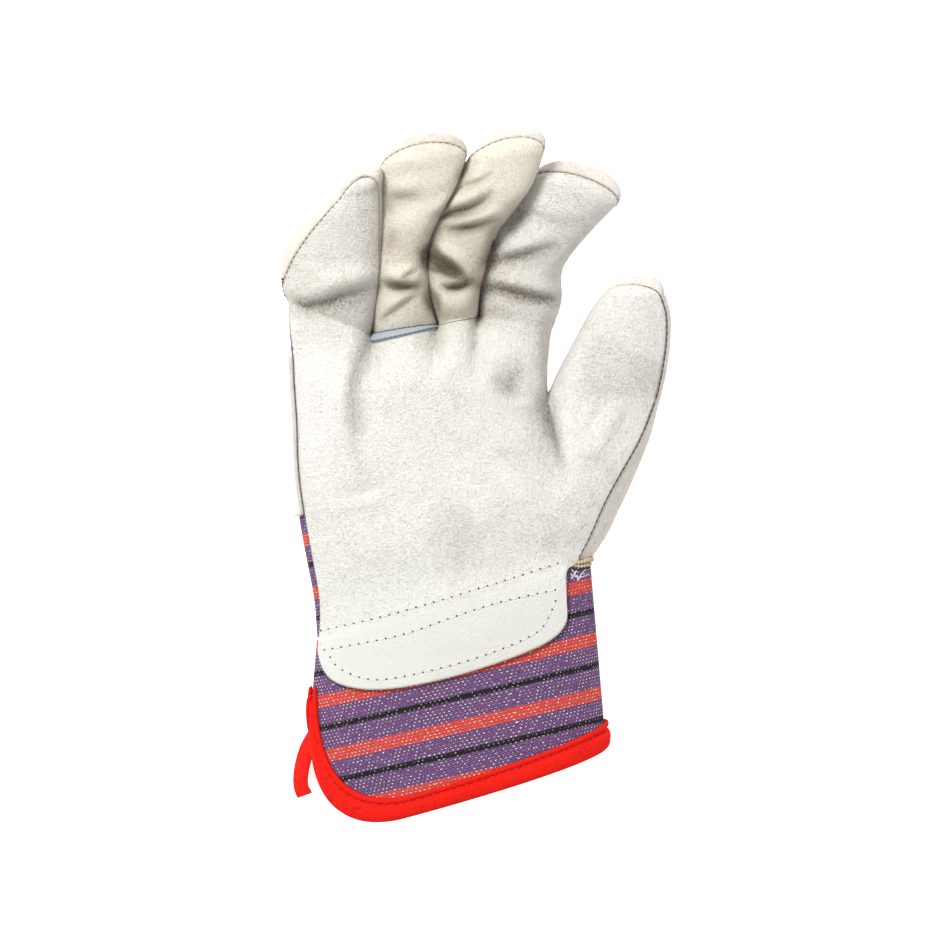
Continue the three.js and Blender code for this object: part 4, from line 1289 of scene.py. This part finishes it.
@dataclass(frozen=True)
class StripedDrill:
    """Herringbone twill in purple with red bands and black lines, and pale weft floats.

    Each of the three stripes has a dark and a light colour, for the hollows and tops of the yarn.
    """

    name: str
    purple: tuple[Color, Color] = ((0.022, 0.008, 0.045), (0.26, 0.13, 0.32))
    red: tuple[Color, Color] = ((0.44, 0.024, 0.022), (0.78, 0.105, 0.08))
    black: tuple[Color, Color] = ((0.004, 0.004, 0.005), (0.030, 0.028, 0.032))
    weft: Color = (0.16, 0.10, 0.095)
    pale: Color = (0.82, 0.76, 0.73)
    # The painted shade's colour in the cloth's hollows.
    hollow_shade: Color = (0.01, 0.008, 0.015)
    repeat: float = 0.022
    slope: float = math.radians(12.9)
    shift: float = 0.0041
    row: float = 0.00128
    twill_row: float = 0.00105
    float_run: float = 0.0019
    float_step: float = 0.34
    herringbone: float = 0.036
    fold_place: float = 0.012

    # Whole turns added so that no fraction is taken of a negative number.
    STRIPES_BEFORE = 40.0
    ROWS_BEFORE = 200.0
    METRE_BEFORE = 1.0

    def material(self) -> bpy.types.Material:
        """The material: bands across the run, slanting twill that turns back, and weft floats.

        The place across is measured round the cuff's fold: along the cloth's slope from the
        fold, and then down its side.
        """
        g = Graph(self.name)
        at = g.place()
        x, y, z = g.parts(at)
        c, s = math.cos(self.slope), math.sin(self.slope)
        across = g.math("ABSOLUTE", x * c + y * s - self.fold_place) - z
        along = y * c - x * s
        wobble = (g.noise(at, 300, 2) - 0.5) * 0.0006
        turn = (along + wobble + self.shift) / (self.repeat * c)
        turn = g.math("FRACT", turn + self.STRIPES_BEFORE)
        is_black = turn.ramp(0.0, 0.012) * (1 - turn.ramp(0.10, 0.115))
        is_red = turn.ramp(0.41, 0.43) * (1 - turn.ramp(0.645, 0.665))
        bend = g.math("PINGPONG", across + self.METRE_BEFORE, self.herringbone)
        line = along / self.row + self.ROWS_BEFORE
        within = g.math("FRACT", line)
        step = g.math("FLOOR", line) * self.float_step
        jitter = (g.noise(at, 420, 1) - 0.5) * 0.4
        float_place = g.math("FRACT", bend / self.float_run + step + jitter + self.ROWS_BEFORE)
        floats = g.math("COMPARE", float_place, 0.5, 0.16) * g.math("COMPARE", within, 0.5, 0.18)
        floats = floats * g.noise(at, 520, 2).ramp(0.40, 0.56)
        twill = g.math("SINE", (bend * 0.75 + along) * (math.tau / self.twill_row)) * 0.5 + 0.5
        is_weft = g.math("COMPARE", within, 0.04, 0.13)
        shade = g.noise(at, 1500, 2).ramp(0.3, 0.7) * 0.35 + twill * 0.65
        color = g.mix(is_red, g.mix(shade, *self.purple), g.mix(shade, *self.red))
        color = g.mix(is_weft * 0.6, color, self.weft)
        color = g.mix(is_black, color, g.mix(shade, *self.black))
        color = g.mix(floats * (0.85 - is_black * 0.40), color, self.pale)
        # Painted shade in hollows, by how far a corner lies under its surroundings.
        _, sunk, _ = g.parts(g.attribute("rim_and_shade"))
        color = g.mix(sunk.ramp(0.15, 1.2) * 0.5, color, self.hollow_shade)
        normal = g.bump(floats + twill * 0.6 - is_weft * 0.5, 0.0004)
        return g.finish(Base_Color=color, Roughness=0.9, Specular_IOR_Level=0.1, Normal=normal)


@dataclass(frozen=True)
class Tape:
    """Red woven binding tape."""

    name: str
    bright: Color = (0.74, 0.012, 0.006)
    dull: Color = (0.46, 0.008, 0.006)
    rubbed: Color = (0.22, 0.012, 0.014)

    def material(self) -> bpy.types.Material:
        """The material: bright red with duller fuzz and rubbed places."""
        g = Graph(self.name)
        at = g.place()
        fuzz = g.noise(at, 1300, 3, 0.7)
        broad = g.noise(at, 210, 3, 0.6)
        color = g.mix(fuzz.ramp(0.40, 0.75) * 0.6, self.bright, self.dull)
        worn = broad.ramp(0.52, 0.72) * g.noise(at, 900, 3).ramp(0.42, 0.62)
        color = g.mix(worn * 0.7, color, self.rubbed)
        return g.finish(
            Base_Color=color, Roughness=0.9, Specular_IOR_Level=0.1, Normal=g.bump(fuzz, 0.0005)
        )


@dataclass(frozen=True)
class Plain:
    """A plain matte finish with a slight grain."""

    name: str
    color: Color
    roughness: float = 0.9
    grain_scale: float = 1200
    dark_share: float = 0.72

    def material(self) -> bpy.types.Material:
        """The material: a mix of the colour and a darker one, by fine noise."""
        g = Graph(self.name)
        grain = g.noise(g.place(), self.grain_scale, 3)
        color = g.mix(grain, tuple(c * self.dark_share for c in self.color), self.color)
        return g.finish(Base_Color=color, Roughness=self.roughness, Normal=g.bump(grain, 0.0002))


def tube(grid: np.ndarray) -> tuple[np.ndarray, np.ndarray]:
    """A closed tube from sections: the side faces, and a fan at each end.

    Args:
        grid: sections by points, in turn along the run.

    Returns:
        The vertices and the triangles.
    """
    n, m, _ = grid.shape
    ids = np.arange(n * m).reshape(n, m)
    nxt = np.roll(ids, -1, axis=1)
    a, b, c, d = ids[:-1], nxt[:-1], nxt[1:], ids[1:]
    sides = [np.stack(corners, 2).reshape(-1, 3) for corners in ((a, b, c), (a, c, d))]
    centres = np.stack([grid[0].mean(0), grid[-1].mean(0)])
    first = np.stack([np.full(m, n * m), nxt[0], ids[0]], 1)
    last = np.stack([np.full(m, n * m + 1), ids[-1], nxt[-1]], 1)
    return np.concatenate([grid.reshape(-1, 3), centres]), np.concatenate([*sides, first, last])


@dataclass(frozen=True)
class Binding:
    """The red tape folded round the cuff's edge, its stitches' path and its loose tail."""

    rows: int = 50
    cols: int = 150
    start: int = 5
    round_steps: int = 9
    round_share: float = 0.9
    seam_run: float = 5.75
    seam_height: float = 0.75
    seam_start: int = 8
    tail_steps: int = 40
    tail_sides: int = 16
    tail_lean: float = math.radians(50)
    tail_half_width: float = 4.6
    tail_half_wall: float = 0.9
    tail_roundness: float = 0.4

    def face(self, side: Side, grow: float) -> np.ndarray:
        """The cuff's face as a grid, at a distance outside its form."""
        return CUFF.grid(side, self.rows, self.cols, grow)

    @staticmethod
    def leg(grid: np.ndarray, width: float) -> np.ndarray:
        """The points at a distance up each column from the grid's last row."""
        up = grid[::-1]
        lengths = np.linalg.norm(np.diff(up, axis=0), axis=2)
        run = np.vstack([np.zeros(up.shape[1]), np.cumsum(lengths, axis=0)])
        above = np.clip((run < width).sum(0), 1, len(run) - 1)
        column = np.arange(up.shape[1])
        low, high = run[above - 1, column], run[above, column]
        share = np.clip((width - low) / np.maximum(high - low, 1e-9), 0, 1)[:, None]
        return up[above - 1, column] * (1 - share) + up[above, column] * share

    def tape(self) -> tuple[np.ndarray, np.ndarray]:
        """The tape: a channel whose sections follow a profile outside and inside the cuff.

        Half an ellipse joins the two profiles below the edge.

        Returns:
            The vertices and the triangles.
        """
        turn = np.linspace(0, math.pi, self.round_steps)[1:-1]
        under = -DRILL - GAP
        sections = []
        for side in Side:
            face = partial(self.face, side)
            outside = [self.leg(face(GAP + height), run) for run, height in TAPE_PROFILE]
            inside = [self.leg(face(under - height), run) for run, height in TAPE_PROFILE[::-1]]
            centre, half = (outside[-1] + inside[0]) / 2, (outside[-1] - inside[0]) / 2
            wall = face(GAP)
            inwards = unit(wall[-2] - wall[-1])
            sink = inwards * np.linalg.norm(half, axis=-1, keepdims=True)
            ring = [centre + half * math.cos(a) - sink * math.sin(a) * self.round_share for a in turn]
            closing = [face(under)[-1] - inwards * GAP, wall[-1] - inwards * GAP]
            grid = np.stack([*outside, *ring, *inside, *closing], axis=1)
            sections.append(grid[self.start :] if side is Side.PALM else grid[self.start : -1][::-1])
        return tube(np.concatenate(sections))

    def seam(self, side: Side) -> tuple[np.ndarray, np.ndarray]:
        """The path of the tape's stitches on a face, in its profile's groove, and the normals."""
        edge = self.leg(self.face(side, GAP + self.seam_height), self.seam_run)[self.seam_start :]
        base = self.leg(self.face(side, GAP), self.seam_run)[self.seam_start :]
        return edge, unit(edge - base)

    def tail(self) -> tuple[np.ndarray, np.ndarray]:
        """The tape's loose tail: a band with rounded edges along a path, seen nearly edge-on.

        Its section is a superellipse: the cosine of the turn to a power, by the sine.

        Returns:
            The vertices and the triangles.
        """
        path = smooth_rows(np.array(TAIL), np.linspace(0, 1, self.tail_steps))
        along = unit(np.gradient(path, axis=0))
        wide = unit(np.cross(along, [math.sin(self.tail_lean), 0.0, -math.cos(self.tail_lean)]))
        thick = unit(np.cross(wide, along))
        turn = np.linspace(0, math.tau, self.tail_sides, endpoint=False)
        across = np.sign(np.cos(turn)) * np.abs(np.cos(turn)) ** self.tail_roundness
        across = (across * self.tail_half_width)[:, None]
        deep = (np.sin(turn) * self.tail_half_wall)[:, None]
        return tube(path[:, None] + wide[:, None] * across + thick[:, None] * deep)


@dataclass(frozen=True)
class Welt:
    """The strip in the seam at the root of the ring finger: widest at its left end."""

    width: float = 4.8
    least: float = 0.5
    taper: float = 0.7
    lift: float = 0.15
    rows: int = 4
    run_rows: int = 8

    def patch(self, palm: Skin, ids: np.ndarray) -> Patch:
        """The strip over the palm's last rows.

        Args:
            palm: the palm's wall.
            ids: the palm's corners below the ring finger, by row and column.

        Returns:
            The strip's grids.
        """
        high = palm.over(ids[-1], 0.0)
        down = unit(palm.over(ids[-self.run_rows], 0.0) - high)
        share = np.linspace(0, 1, ids.shape[1])
        width = (self.width * (1 - share) ** self.taper + self.least)[:, None]
        flat = np.stack([high + down * width * k / self.rows for k in range(self.rows, -1, -1)])
        normal = palm.normals[ids[-1]]
        return Patch(flat + normal * (self.lift + WELT), flat + normal * self.lift)


@dataclass(frozen=True)
class Strap:
    """The strap over the knuckles: its rows and columns of the back's grids, and its seams."""

    low_start: int = 44
    high_end: int = 25
    free_columns: int = 12
    seam_rows: tuple[int, int] = (4, -5)
    seam_start: int = 12
    seam_end: int = -8

    def patch(self, back: Skin, columns: int) -> Patch:
        """The strap's grids, a gap over the back's first columns."""
        low, high = back.grids[0][self.low_start :], back.grids[1][1 : self.high_end]
        ids = np.concatenate([grid[:, : columns - self.free_columns] for grid in (low, high)])
        return Patch(back.over(ids, GAP + STRAP), back.over(ids, GAP), True)


@dataclass(frozen=True)
class Spindles:
    """Small closed shapes, each drawn between two points, with rings whose sizes follow a profile."""

    profile: tuple[float, ...] = (0.7, 1.0, 0.7)
    sides: int = 6

    def mesh(self, start: np.ndarray, end: np.ndarray, radius: float) -> tuple[np.ndarray, np.ndarray]:
        """The vertices and triangles of a shape for each pair of points.

        Each ring stands square to the line at an even place along it, its corners at the
        radius times the profile, and both ends close to one point.

        Args:
            start: the first points.
            end: the last points.
            radius: the widest ring's radius.

        Returns:
            The vertices and the triangles.
        """
        m, k = len(self.profile), self.sides
        axis = end - start
        steep = np.abs(unit(axis)[:, 2:]) > 0.9
        across = unit(np.cross(axis, np.where(steep, [[1.0, 0, 0]], [[0, 0, 1.0]])))
        up = unit(np.cross(across, axis))
        turn = np.linspace(0, math.tau, k, endpoint=False)
        circle = across[:, None, :] * np.cos(turn)[:, None] + up[:, None, :] * np.sin(turn)[:, None]
        place = np.arange(1, m + 1) / (m + 1)
        rings = start[:, None, None, :] + axis[:, None, None, :] * place[:, None, None]
        rings = rings + circle[:, None] * (radius * np.array(self.profile))[:, None, None]
        verts = np.concatenate([start[:, None], rings.reshape(len(start), -1, 3), end[:, None]], axis=1)
        ring = 1 + np.arange(m * k).reshape(m, k)
        nxt = np.roll(ring, -1, axis=1)
        first = np.stack([np.zeros(k, int), nxt[0], ring[0]], 1)
        last = np.stack([np.full(k, m * k + 1), ring[-1], nxt[-1]], 1)
        bands = ((ring[:-1], nxt[:-1], nxt[1:]), (ring[:-1], nxt[1:], ring[1:]))
        sides = [np.stack(corners, 2).reshape(-1, 3) for corners in bands]
        one = np.concatenate([first, *sides, last])
        shift = np.arange(len(start))[:, None, None] * (m * k + 2)
        return verts.reshape(-1, 3), (one[None] + shift).reshape(-1, 3)


@dataclass(frozen=True)
class Nap:
    """Short loose fibres that stand on suede and soften its outline."""

    count: int
    length: float = 0.85
    radius: float = 0.06
    seed: int = 7
    drift: Place = (0.4, -0.8, 0.0)
    shortest: float = 0.5
    longest: float = 1.3
    lean: float = 0.85
    rise: float = 0.5
    root_depth: float = 0.1
    # How much fewer fibres grow where shade is painted.
    shade_loss: float = 0.6
    # Shares of the rim, hollow and painted-shade values that the fibres keep.
    rim_and_shade_kept: tuple[float, ...] = (0.0, 0.6, 1.0)

    def grow(self, skin: Skin, grids: list[np.ndarray]) -> tuple[np.ndarray, np.ndarray, np.ndarray]:
        """Fibres at random places of a wall, fewer where shade is painted.

        Each root is a bilinear blend of a grid cell's corners, and each fibre leans along the
        wall in a random direction, mostly down the hand, and rises by half its length.

        Args:
            skin: the wall.
            grids: the corner numbers of the patches that the fibres grow on.

        Returns:
            The vertices, the triangles and the rim and painted-shade values of each vertex.
        """
        rng = np.random.default_rng(self.seed)
        corners = [(g[:-1, :-1], g[:-1, 1:], g[1:, :-1], g[1:, 1:]) for g in grids]
        cells = np.concatenate([np.stack(four, 2).reshape(-1, 4) for four in corners])
        a, b, c = (skin.points[cells[:, k]] for k in range(3))
        area = np.linalg.norm(np.cross(b - a, c - a), axis=1)
        # Fewer fibres where shade is painted.
        weight = area * (1 - self.shade_loss * skin.rim_and_shade[cells[:, 0], 2])
        pick = cells[rng.choice(len(cells), self.count, p=weight / weight.sum())]
        u, v = rng.random((2, self.count, 1))
        share = np.stack([(1 - u) * (1 - v), u * (1 - v), (1 - u) * v, u * v], 1)
        root, up, rim_and_shade = ((values[pick] * share).sum(1) for values in (skin.points, skin.normals, skin.rim_and_shade))
        up = unit(up)
        lean = rng.normal(0, 1, (self.count, 3)) + np.array(self.drift)
        lean = unit(lean - up * (lean * up).sum(1, keepdims=True))
        reach = self.length * rng.uniform(self.shortest, self.longest, (self.count, 1))
        tip = root + (lean * self.lean + up * self.rise) * reach
        verts, tris = Spindles((1.0,), 3).mesh(root - up * self.root_depth, tip, self.radius)
        kept = rim_and_shade * np.array(self.rim_and_shade_kept)
        return verts, tris, np.repeat(kept, len(verts) // self.count, axis=0)


@dataclass(frozen=True)
class Stitch:
    """A seam's look: its thread, pitch and radius, and the share of the pitch it covers."""

    thread: str
    pitch: float
    radius: float
    cover: float = 0.68
    holes: bool = False


STITCHES = {
    "tab": Stitch("pale", 3.7, 0.28, holes=True),
    "tip": Stitch("brown", 2.6, 0.24),
    "thumb": Stitch("dark", 2.6, 0.24, 1.15),
    "whip": Stitch("pale", 2.4, 0.3),
    "welt": Stitch("dark", 2.0, 0.2, 1.1),
    "strap": Stitch("pale", 3.7, 0.3, holes=True),
    "binding": Stitch("red", 3.4, 0.32),
}


class Sewing:
    """Threads, and dark beads of painted shade in the needle holes, gathered by kind and made into one mesh
    for each.
    """

    HOLE_DEPTH = 0.4
    HOLE_RISE = 0.2
    HOLE_SIZE = 1.9
    THREAD_RISE = 0.25
    WHIP_RISES = (0.2, 0.35)

    def __init__(self) -> None:
        """Starts with nothing sewn."""
        self.parts: dict[str, list[tuple[np.ndarray, np.ndarray, float]]] = {}

    def add(self, kind: str, start: np.ndarray, end: np.ndarray, radius: float) -> None:
        """Adds shapes of a kind between points."""
        self.parts.setdefault(kind, []).append((start, end, radius))

    def row(self, path: np.ndarray, normals: np.ndarray, stitch: Stitch) -> None:
        """A row of running stitches, with a dark bead of painted shade in the needle hole between each two
        where it has holes.

        Args:
            path: points on the leather.
            normals: the surface's normals there.
            stitch: the seam's look.
        """
        points = even_steps(np.concatenate([path, normals], axis=1), stitch.pitch)
        place, up = points[:, :3], unit(points[:, 3:])
        step = place[1:] - place[:-1]
        rise = unit(up[1:] + up[:-1]) * stitch.radius * self.THREAD_RISE
        centre = (place[:-1] + place[1:]) / 2 + rise
        half = step * stitch.cover / 2
        self.add(stitch.thread, centre - half, centre + half, stitch.radius)
        if stitch.holes:
            # Dark beads in the needle holes: painted shade standing for their recesses.
            low, high = place - up * self.HOLE_DEPTH, place + up * self.HOLE_RISE
            self.add("hole", low, high, stitch.radius * self.HOLE_SIZE)

    def whip(self, skin: Skin, ids: np.ndarray, stitch: Stitch) -> None:
        """Whip threads that slant over an edge.

        Args:
            skin: the wall.
            ids: its corners beside the edge, by rows along the edge, and columns inwards.
            stitch: the seam's look.
        """
        normal = skin.normals[ids[:, 0]]
        first, last = (
            even_steps(np.concatenate([skin.over(ids[:, column], height), normal], 1), stitch.pitch)
            for column, height in zip((0, -1), self.WHIP_RISES)
        )
        count = min(len(first), len(last)) - 1
        self.add(stitch.thread, first[:count, :3], last[1 : count + 1, :3], stitch.radius)

    def meshes(self) -> dict[str, tuple[np.ndarray, np.ndarray]]:
        """The vertices and triangles of each kind, in the order of the first of each."""
        out = {}
        for kind, parts in self.parts.items():
            meshes = [Spindles().mesh(*part) for part in parts]
            offsets = np.cumsum([0, *[len(verts) for verts, _ in meshes[:-1]]])
            verts = np.concatenate([verts for verts, _ in meshes])
            tris = np.concatenate([tris + offset for (_, tris), offset in zip(meshes, offsets)])
            out[kind] = (verts, tris)
        return out


class Glove:
    """All the glove's pieces, built and dressed in order."""

    # Rows of the palm at the finger roots that the cream leather takes over.
    ROOT_ROWS = 5

    # The row of each finger's back from which its leather cap reaches to the tip.
    CAP_ROWS = {"little": 30, "ring": 40, "middle": 40}

    # Rows and columns of the tab beside its left edge, which the whip threads cross.
    WHIP_CORNERS = np.s_[2:26, :5]

    STRAND_PITCH = 1.4
    STRAND_COVER = 1.3
    TIP_SEAM_RISE = 0.05

    def __init__(self) -> None:
        """Makes the forms and the finishes."""
        self.skins: dict[str, Skin] = {}
        self.digits = {name: DigitForm(name) for name in DIGITS}
        self.hand = HandForm(self.digits)
        self.step = self.hand.cols + 1
        self.binding = Binding()
        self.strap = Strap()
        self.suede = Suede("grey_suede").material()
        self.back_suede = Suede("back_suede", pale=(0.87, 0.815, 0.755)).material()
        self.cream = Suede(
            "cream_suede", pale=(0.79, 0.755, 0.665), worn=(0.58, 0.52, 0.40),
            fleck_and_shade=(0.062, 0.047, 0.022), nap=0.0013, grain=0.15,
        ).material()
        self.drill = StripedDrill("striped_drill").material()
        self.tape = Tape("red_binding").material()
        self.welt = Plain("welt_leather", (0.36, 0.405, 0.455)).material()

    def place(self, obj: bpy.types.Object, finish: bpy.types.Material, slot: str | None, *nodes: str) -> None:
        """Dresses a piece and ties it to the body.

        Args:
            obj: the piece.
            finish: its material.
            slot: the material slot's name, or None for a piece without one; it is not used.
            nodes: the nodes that the piece stands for, which it hides.
        """
        obj.data.materials.append(finish)
        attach(obj, "root")
        if nodes:
            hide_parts(*nodes)
        log.info("%s: %d triangles", obj.name, len(obj.data.polygons))

    def place_wall(self, skin: Skin, finish: bpy.types.Material, slot: str, node: str) -> Skin:
        """Dresses a wall and keeps it by its node's name."""
        self.place(skin.obj, finish, slot, node)
        self.skins[node] = skin
        return skin

    @staticmethod
    def patch(side: Side, thickness: float, make: GridMaker, cut: slice | tuple = np.s_[:]) -> Patch:
        """A patch of a face, with its wall's outer and inner points.

        Args:
            side: the face.
            thickness: the wall's thickness.
            make: gives the grid of a face at a distance outside the form.
            cut: the rows and columns of the grid that are kept.

        Returns:
            The patch.
        """
        return Patch(make(side, 0.0)[cut], make(side, -thickness)[cut], side is Side.BACK)

    def fingers_front(self) -> None:
        """The palm with its tab, and the cream front of two fingers."""
        step, top = self.step, self.ROOT_ROWS
        patch = partial(self.patch, Side.PALM, LEATHER)
        palm = [
            Patch(self.hand.tab(0.0), self.hand.tab(-LEATHER), True),
            patch(self.hand.thumb_base),
            patch(self.hand.knuckles, np.s_[:-top]),
            patch(self.hand.knuckles, np.s_[-top - 1 :, :step]),
            patch(self.hand.knuckles, np.s_[-top - 1 :, 3 * step : 4 * step]),
            *[patch(self.digits[name].panel) for name in ("little", "index", "thumb")],
        ]
        wall = build_wall("palm_leather", palm, rounds=28, gain=1.1)
        self.place_wall(wall, self.suede, "grey_suede", "palm")
        two = [
            patch(self.hand.knuckles, np.s_[-top:, step : 3 * step]),
            *[patch(self.digits[name].panel) for name in ("ring", "middle")],
        ]
        wall = build_wall("two_finger_leather", two, rounds=8, gain=1.25)
        self.place_wall(wall, self.cream, "cream_suede", "two_finger_front")

    def thumb(self) -> None:
        """The thumb's back half."""
        patch = partial(self.patch, Side.BACK, LEATHER)
        patches = [
            patch(self.hand.thumb_base, np.s_[1:, 4 * self.step : 5 * self.step]),
            patch(self.digits["thumb"].panel),
        ]
        wall = build_wall("thumb_back_leather", patches, rounds=28)
        self.place_wall(wall, self.back_suede, "grey_suede", "thumb_back")

    def backs(self) -> None:
        """The leather caps, the striped back, the index finger's back and the strap."""
        patch = partial(self.patch, Side.BACK)
        columns = 4 * self.step
        back = [
            patch(DRILL, self.hand.thumb_base, np.s_[1:, :columns]),
            patch(DRILL, self.hand.knuckles),
        ]
        for name, cap in self.CAP_ROWS.items():
            panel = self.digits[name].panel
            back.append(patch(DRILL, panel, np.s_[: cap + 1]))
            tip = build_wall(name + "_tip_leather", [patch(LEATHER, panel, np.s_[cap + 1 :])], rounds=6)
            self.place_wall(tip, self.back_suede, "grey_suede", name + "_fingertip")
        wall = build_wall("back_drill", back, rounds=28)
        self.place_wall(wall, self.drill, "striped_drill", "hand_back")
        index = patch(LEATHER, self.digits["index"].panel, np.s_[1:])
        index_wall = build_wall("index_back_leather", [index], rounds=8)
        self.place_wall(index_wall, self.back_suede, "grey_suede", "index_back")
        strap = build_wall("knuckle_strap_leather", [self.strap.patch(wall, columns)], rounds=2)
        self.place_wall(strap, self.suede, "grey_suede", "knuckle_strap")

    def cuff(self) -> None:
        """The striped cuff, its binding and the tape's loose tail."""
        patches = []
        for side in Side:
            outer, inner = (self.binding.face(side, grow)[:, :: side.value] for grow in (0.0, -DRILL))
            patches.append(Patch(outer, inner, True))
        self.place_wall(build_wall("cuff_drill", patches), self.drill, "striped_drill", "cuff")
        tape = mesh_object("cuff_binding_tape", *self.binding.tape())
        self.place(tape, self.tape, "red_binding", "cuff_binding")
        tail = mesh_object("cuff_binding_tail", *self.binding.tail())
        self.place(tail, self.tape, "red_binding")

    def welt_strip(self) -> None:
        """The blue-grey strip in the seam at the root of the ring finger."""
        palm = self.skins["palm"]
        ids = palm.grids[2][:, self.step + 1 : 2 * self.step + 1]
        wall = build_wall("finger_welt_strip", [Welt().patch(palm, ids)])
        self.place_wall(wall, self.welt, "welt_leather", "finger_welt")

    def grow_nap(self) -> None:
        """Loose fibres on the palm, the two cream fingers and the thumb's back.

        Each row gives the node, the first patch that is covered, the fibres and the finish.
        """
        rows = (
            ("palm", 1, Nap(31000), self.suede, "grey_suede"),
            ("two_finger_front", 0, Nap(9000, 0.7, 0.05), self.cream, "cream_suede"),
            ("thumb_back", 0, Nap(7000), self.back_suede, "grey_suede"),
        )
        for node, first, nap, finish, slot in rows:
            skin = self.skins[node]
            fibres = nap.grow(skin, skin.grids[first:])
            self.place(mesh_object(node + "_nap", *fibres), finish, slot)

    def sew(self) -> None:
        """All threads, each kind as one piece.

        They are the tab's rows, the seams of the fingers and the thumb, the whip threads at the
        tab's edge, the welt's outline, the loose strands, the strap's rows and the binding's.
        """
        sewing = Sewing()
        palm, welt, strap = (self.skins[node] for node in ("palm", "finger_welt", "knuckle_strap"))
        for plan in TAB_STITCHES:
            sewing.row(*palm.drop(plan), STITCHES["tab"])
        for node, grid, column, first, name in TIP_SEAMS:
            skin = self.skins[node]
            ids = skin.grids[grid][first:, column]
            sewing.row(skin.over(ids, self.TIP_SEAM_RISE), skin.normals[ids], STITCHES[name])
        sewing.whip(palm, palm.grids[0][self.WHIP_CORNERS], STITCHES["whip"])
        for row in (0, -1):
            ids = welt.grids[0][row]
            sewing.row(welt.over(ids, 0.0), welt.normals[ids], STITCHES["welt"])
        for kind, radius, plan in STRANDS:
            stitch = Stitch(kind, self.STRAND_PITCH, radius, self.STRAND_COVER)
            sewing.row(*self.skins["cuff"].drop(plan), stitch)
        for row in self.strap.seam_rows:
            ids = strap.grids[0][row, self.strap.seam_start : self.strap.seam_end]
            sewing.row(strap.over(ids, 0.0), strap.normals[ids], STITCHES["strap"])
        for side in Side:
            sewing.row(*self.binding.seam(side), STITCHES["binding"])
        for kind, mesh in sewing.meshes().items():
            finish = Plain(kind + "_thread", THREADS[kind]).material()
            self.place(mesh_object("sewing_" + kind, *mesh), finish, None)


@dataclass(frozen=True)
class Light:
    """A square soft light."""

    name: str
    place: Place
    size: float
    power: float

    def build(self) -> None:
        """Adds the light, aimed at the glove."""
        data = bpy.data.lights.new(self.name, "AREA")
        data.size = self.size
        data.energy = self.power
        light = bpy.data.objects.new(self.name, data)
        light.location = self.place
        run = Vector(Studio.light_aim) - Vector(self.place)
        light.rotation_euler = run.to_track_quat("-Z", "Y").to_euler()
        bpy.context.scene.collection.objects.link(light)


@dataclass(frozen=True)
class Studio:
    """The pale floor, the soft lights and the camera straight above, in metres."""

    view_width: float = 0.38
    height: float = 1.7
    floor_gap: float = 0.02
    aim: tuple[float, float] = (0.018, -0.022)
    light_aim: Place = (0.015, 0.0, 0.0)
    floor_size: float = 4.0
    floor_drop: float = 0.0002
    paper_glow: float = 0.7
    world_strength: float = 0.50
    sensor: float = 36.0
    lights: tuple[Light, ...] = (
        Light("key", (-0.52, 0.62, 1.05), 0.4, 20.5),
        Light("fill", (0.8, -0.4, 1.2), 1.2, 6.5),
    )

    def build(self) -> None:
        """Adds the floor, the lights, the world and the camera."""
        bpy.ops.mesh.primitive_plane_add(size=self.floor_size, location=(0, 0, -self.floor_drop))
        floor = bpy.context.object
        floor.name = "floor"
        floor.data.materials.append(self.paper())
        floor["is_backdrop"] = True
        for light in self.lights:
            light.build()
        self.world()
        self.camera()
        bpy.context.scene.view_settings.view_transform = "Standard"

    def world(self) -> None:
        """Adds an even white light from all round."""
        world = bpy.data.worlds.new("studio")
        world.use_nodes = True
        background = world.node_tree.nodes["Background"]
        background.inputs["Color"].default_value = (1, 1, 1, 1)
        background.inputs["Strength"].default_value = self.world_strength
        bpy.context.scene.world = world

    def camera(self) -> None:
        """Adds the camera, with a long lens that sees the view's width on the floor."""
        data = bpy.data.cameras.new("camera")
        data.lens = self.sensor * self.height / self.view_width
        data.sensor_width = self.sensor
        data.clip_end = 10
        camera = bpy.data.objects.new("camera", data)
        camera.location = (*self.aim, self.height + self.floor_gap)
        bpy.context.scene.collection.objects.link(camera)
        bpy.context.scene.camera = camera

    def paper(self) -> bpy.types.Material:
        """White paper that glows a little, so that shadows on it stay light."""
        return Graph("paper").finish(
            Base_Color=(0.9, 0.9, 0.9), Roughness=1.0,
            Emission_Color=(1.0, 1.0, 1.0), Emission_Strength=self.paper_glow,
        )


def main() -> None:
    """Builds the pieces in order."""
    logging.basicConfig(level=logging.INFO, format="%(message)s")
    Studio().build()
    glove = Glove()
    glove.fingers_front()
    glove.thumb()
    glove.backs()
    glove.cuff()
    glove.welt_strip()
    glove.grow_nap()
    glove.sew()
    boxes = {"cad": CAD_BOX, "visual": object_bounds()}
    sizes = {name: [list(map(float, corner)) for corner in box] for name, box in boxes.items()}


if __name__ == "__main__":
    main()
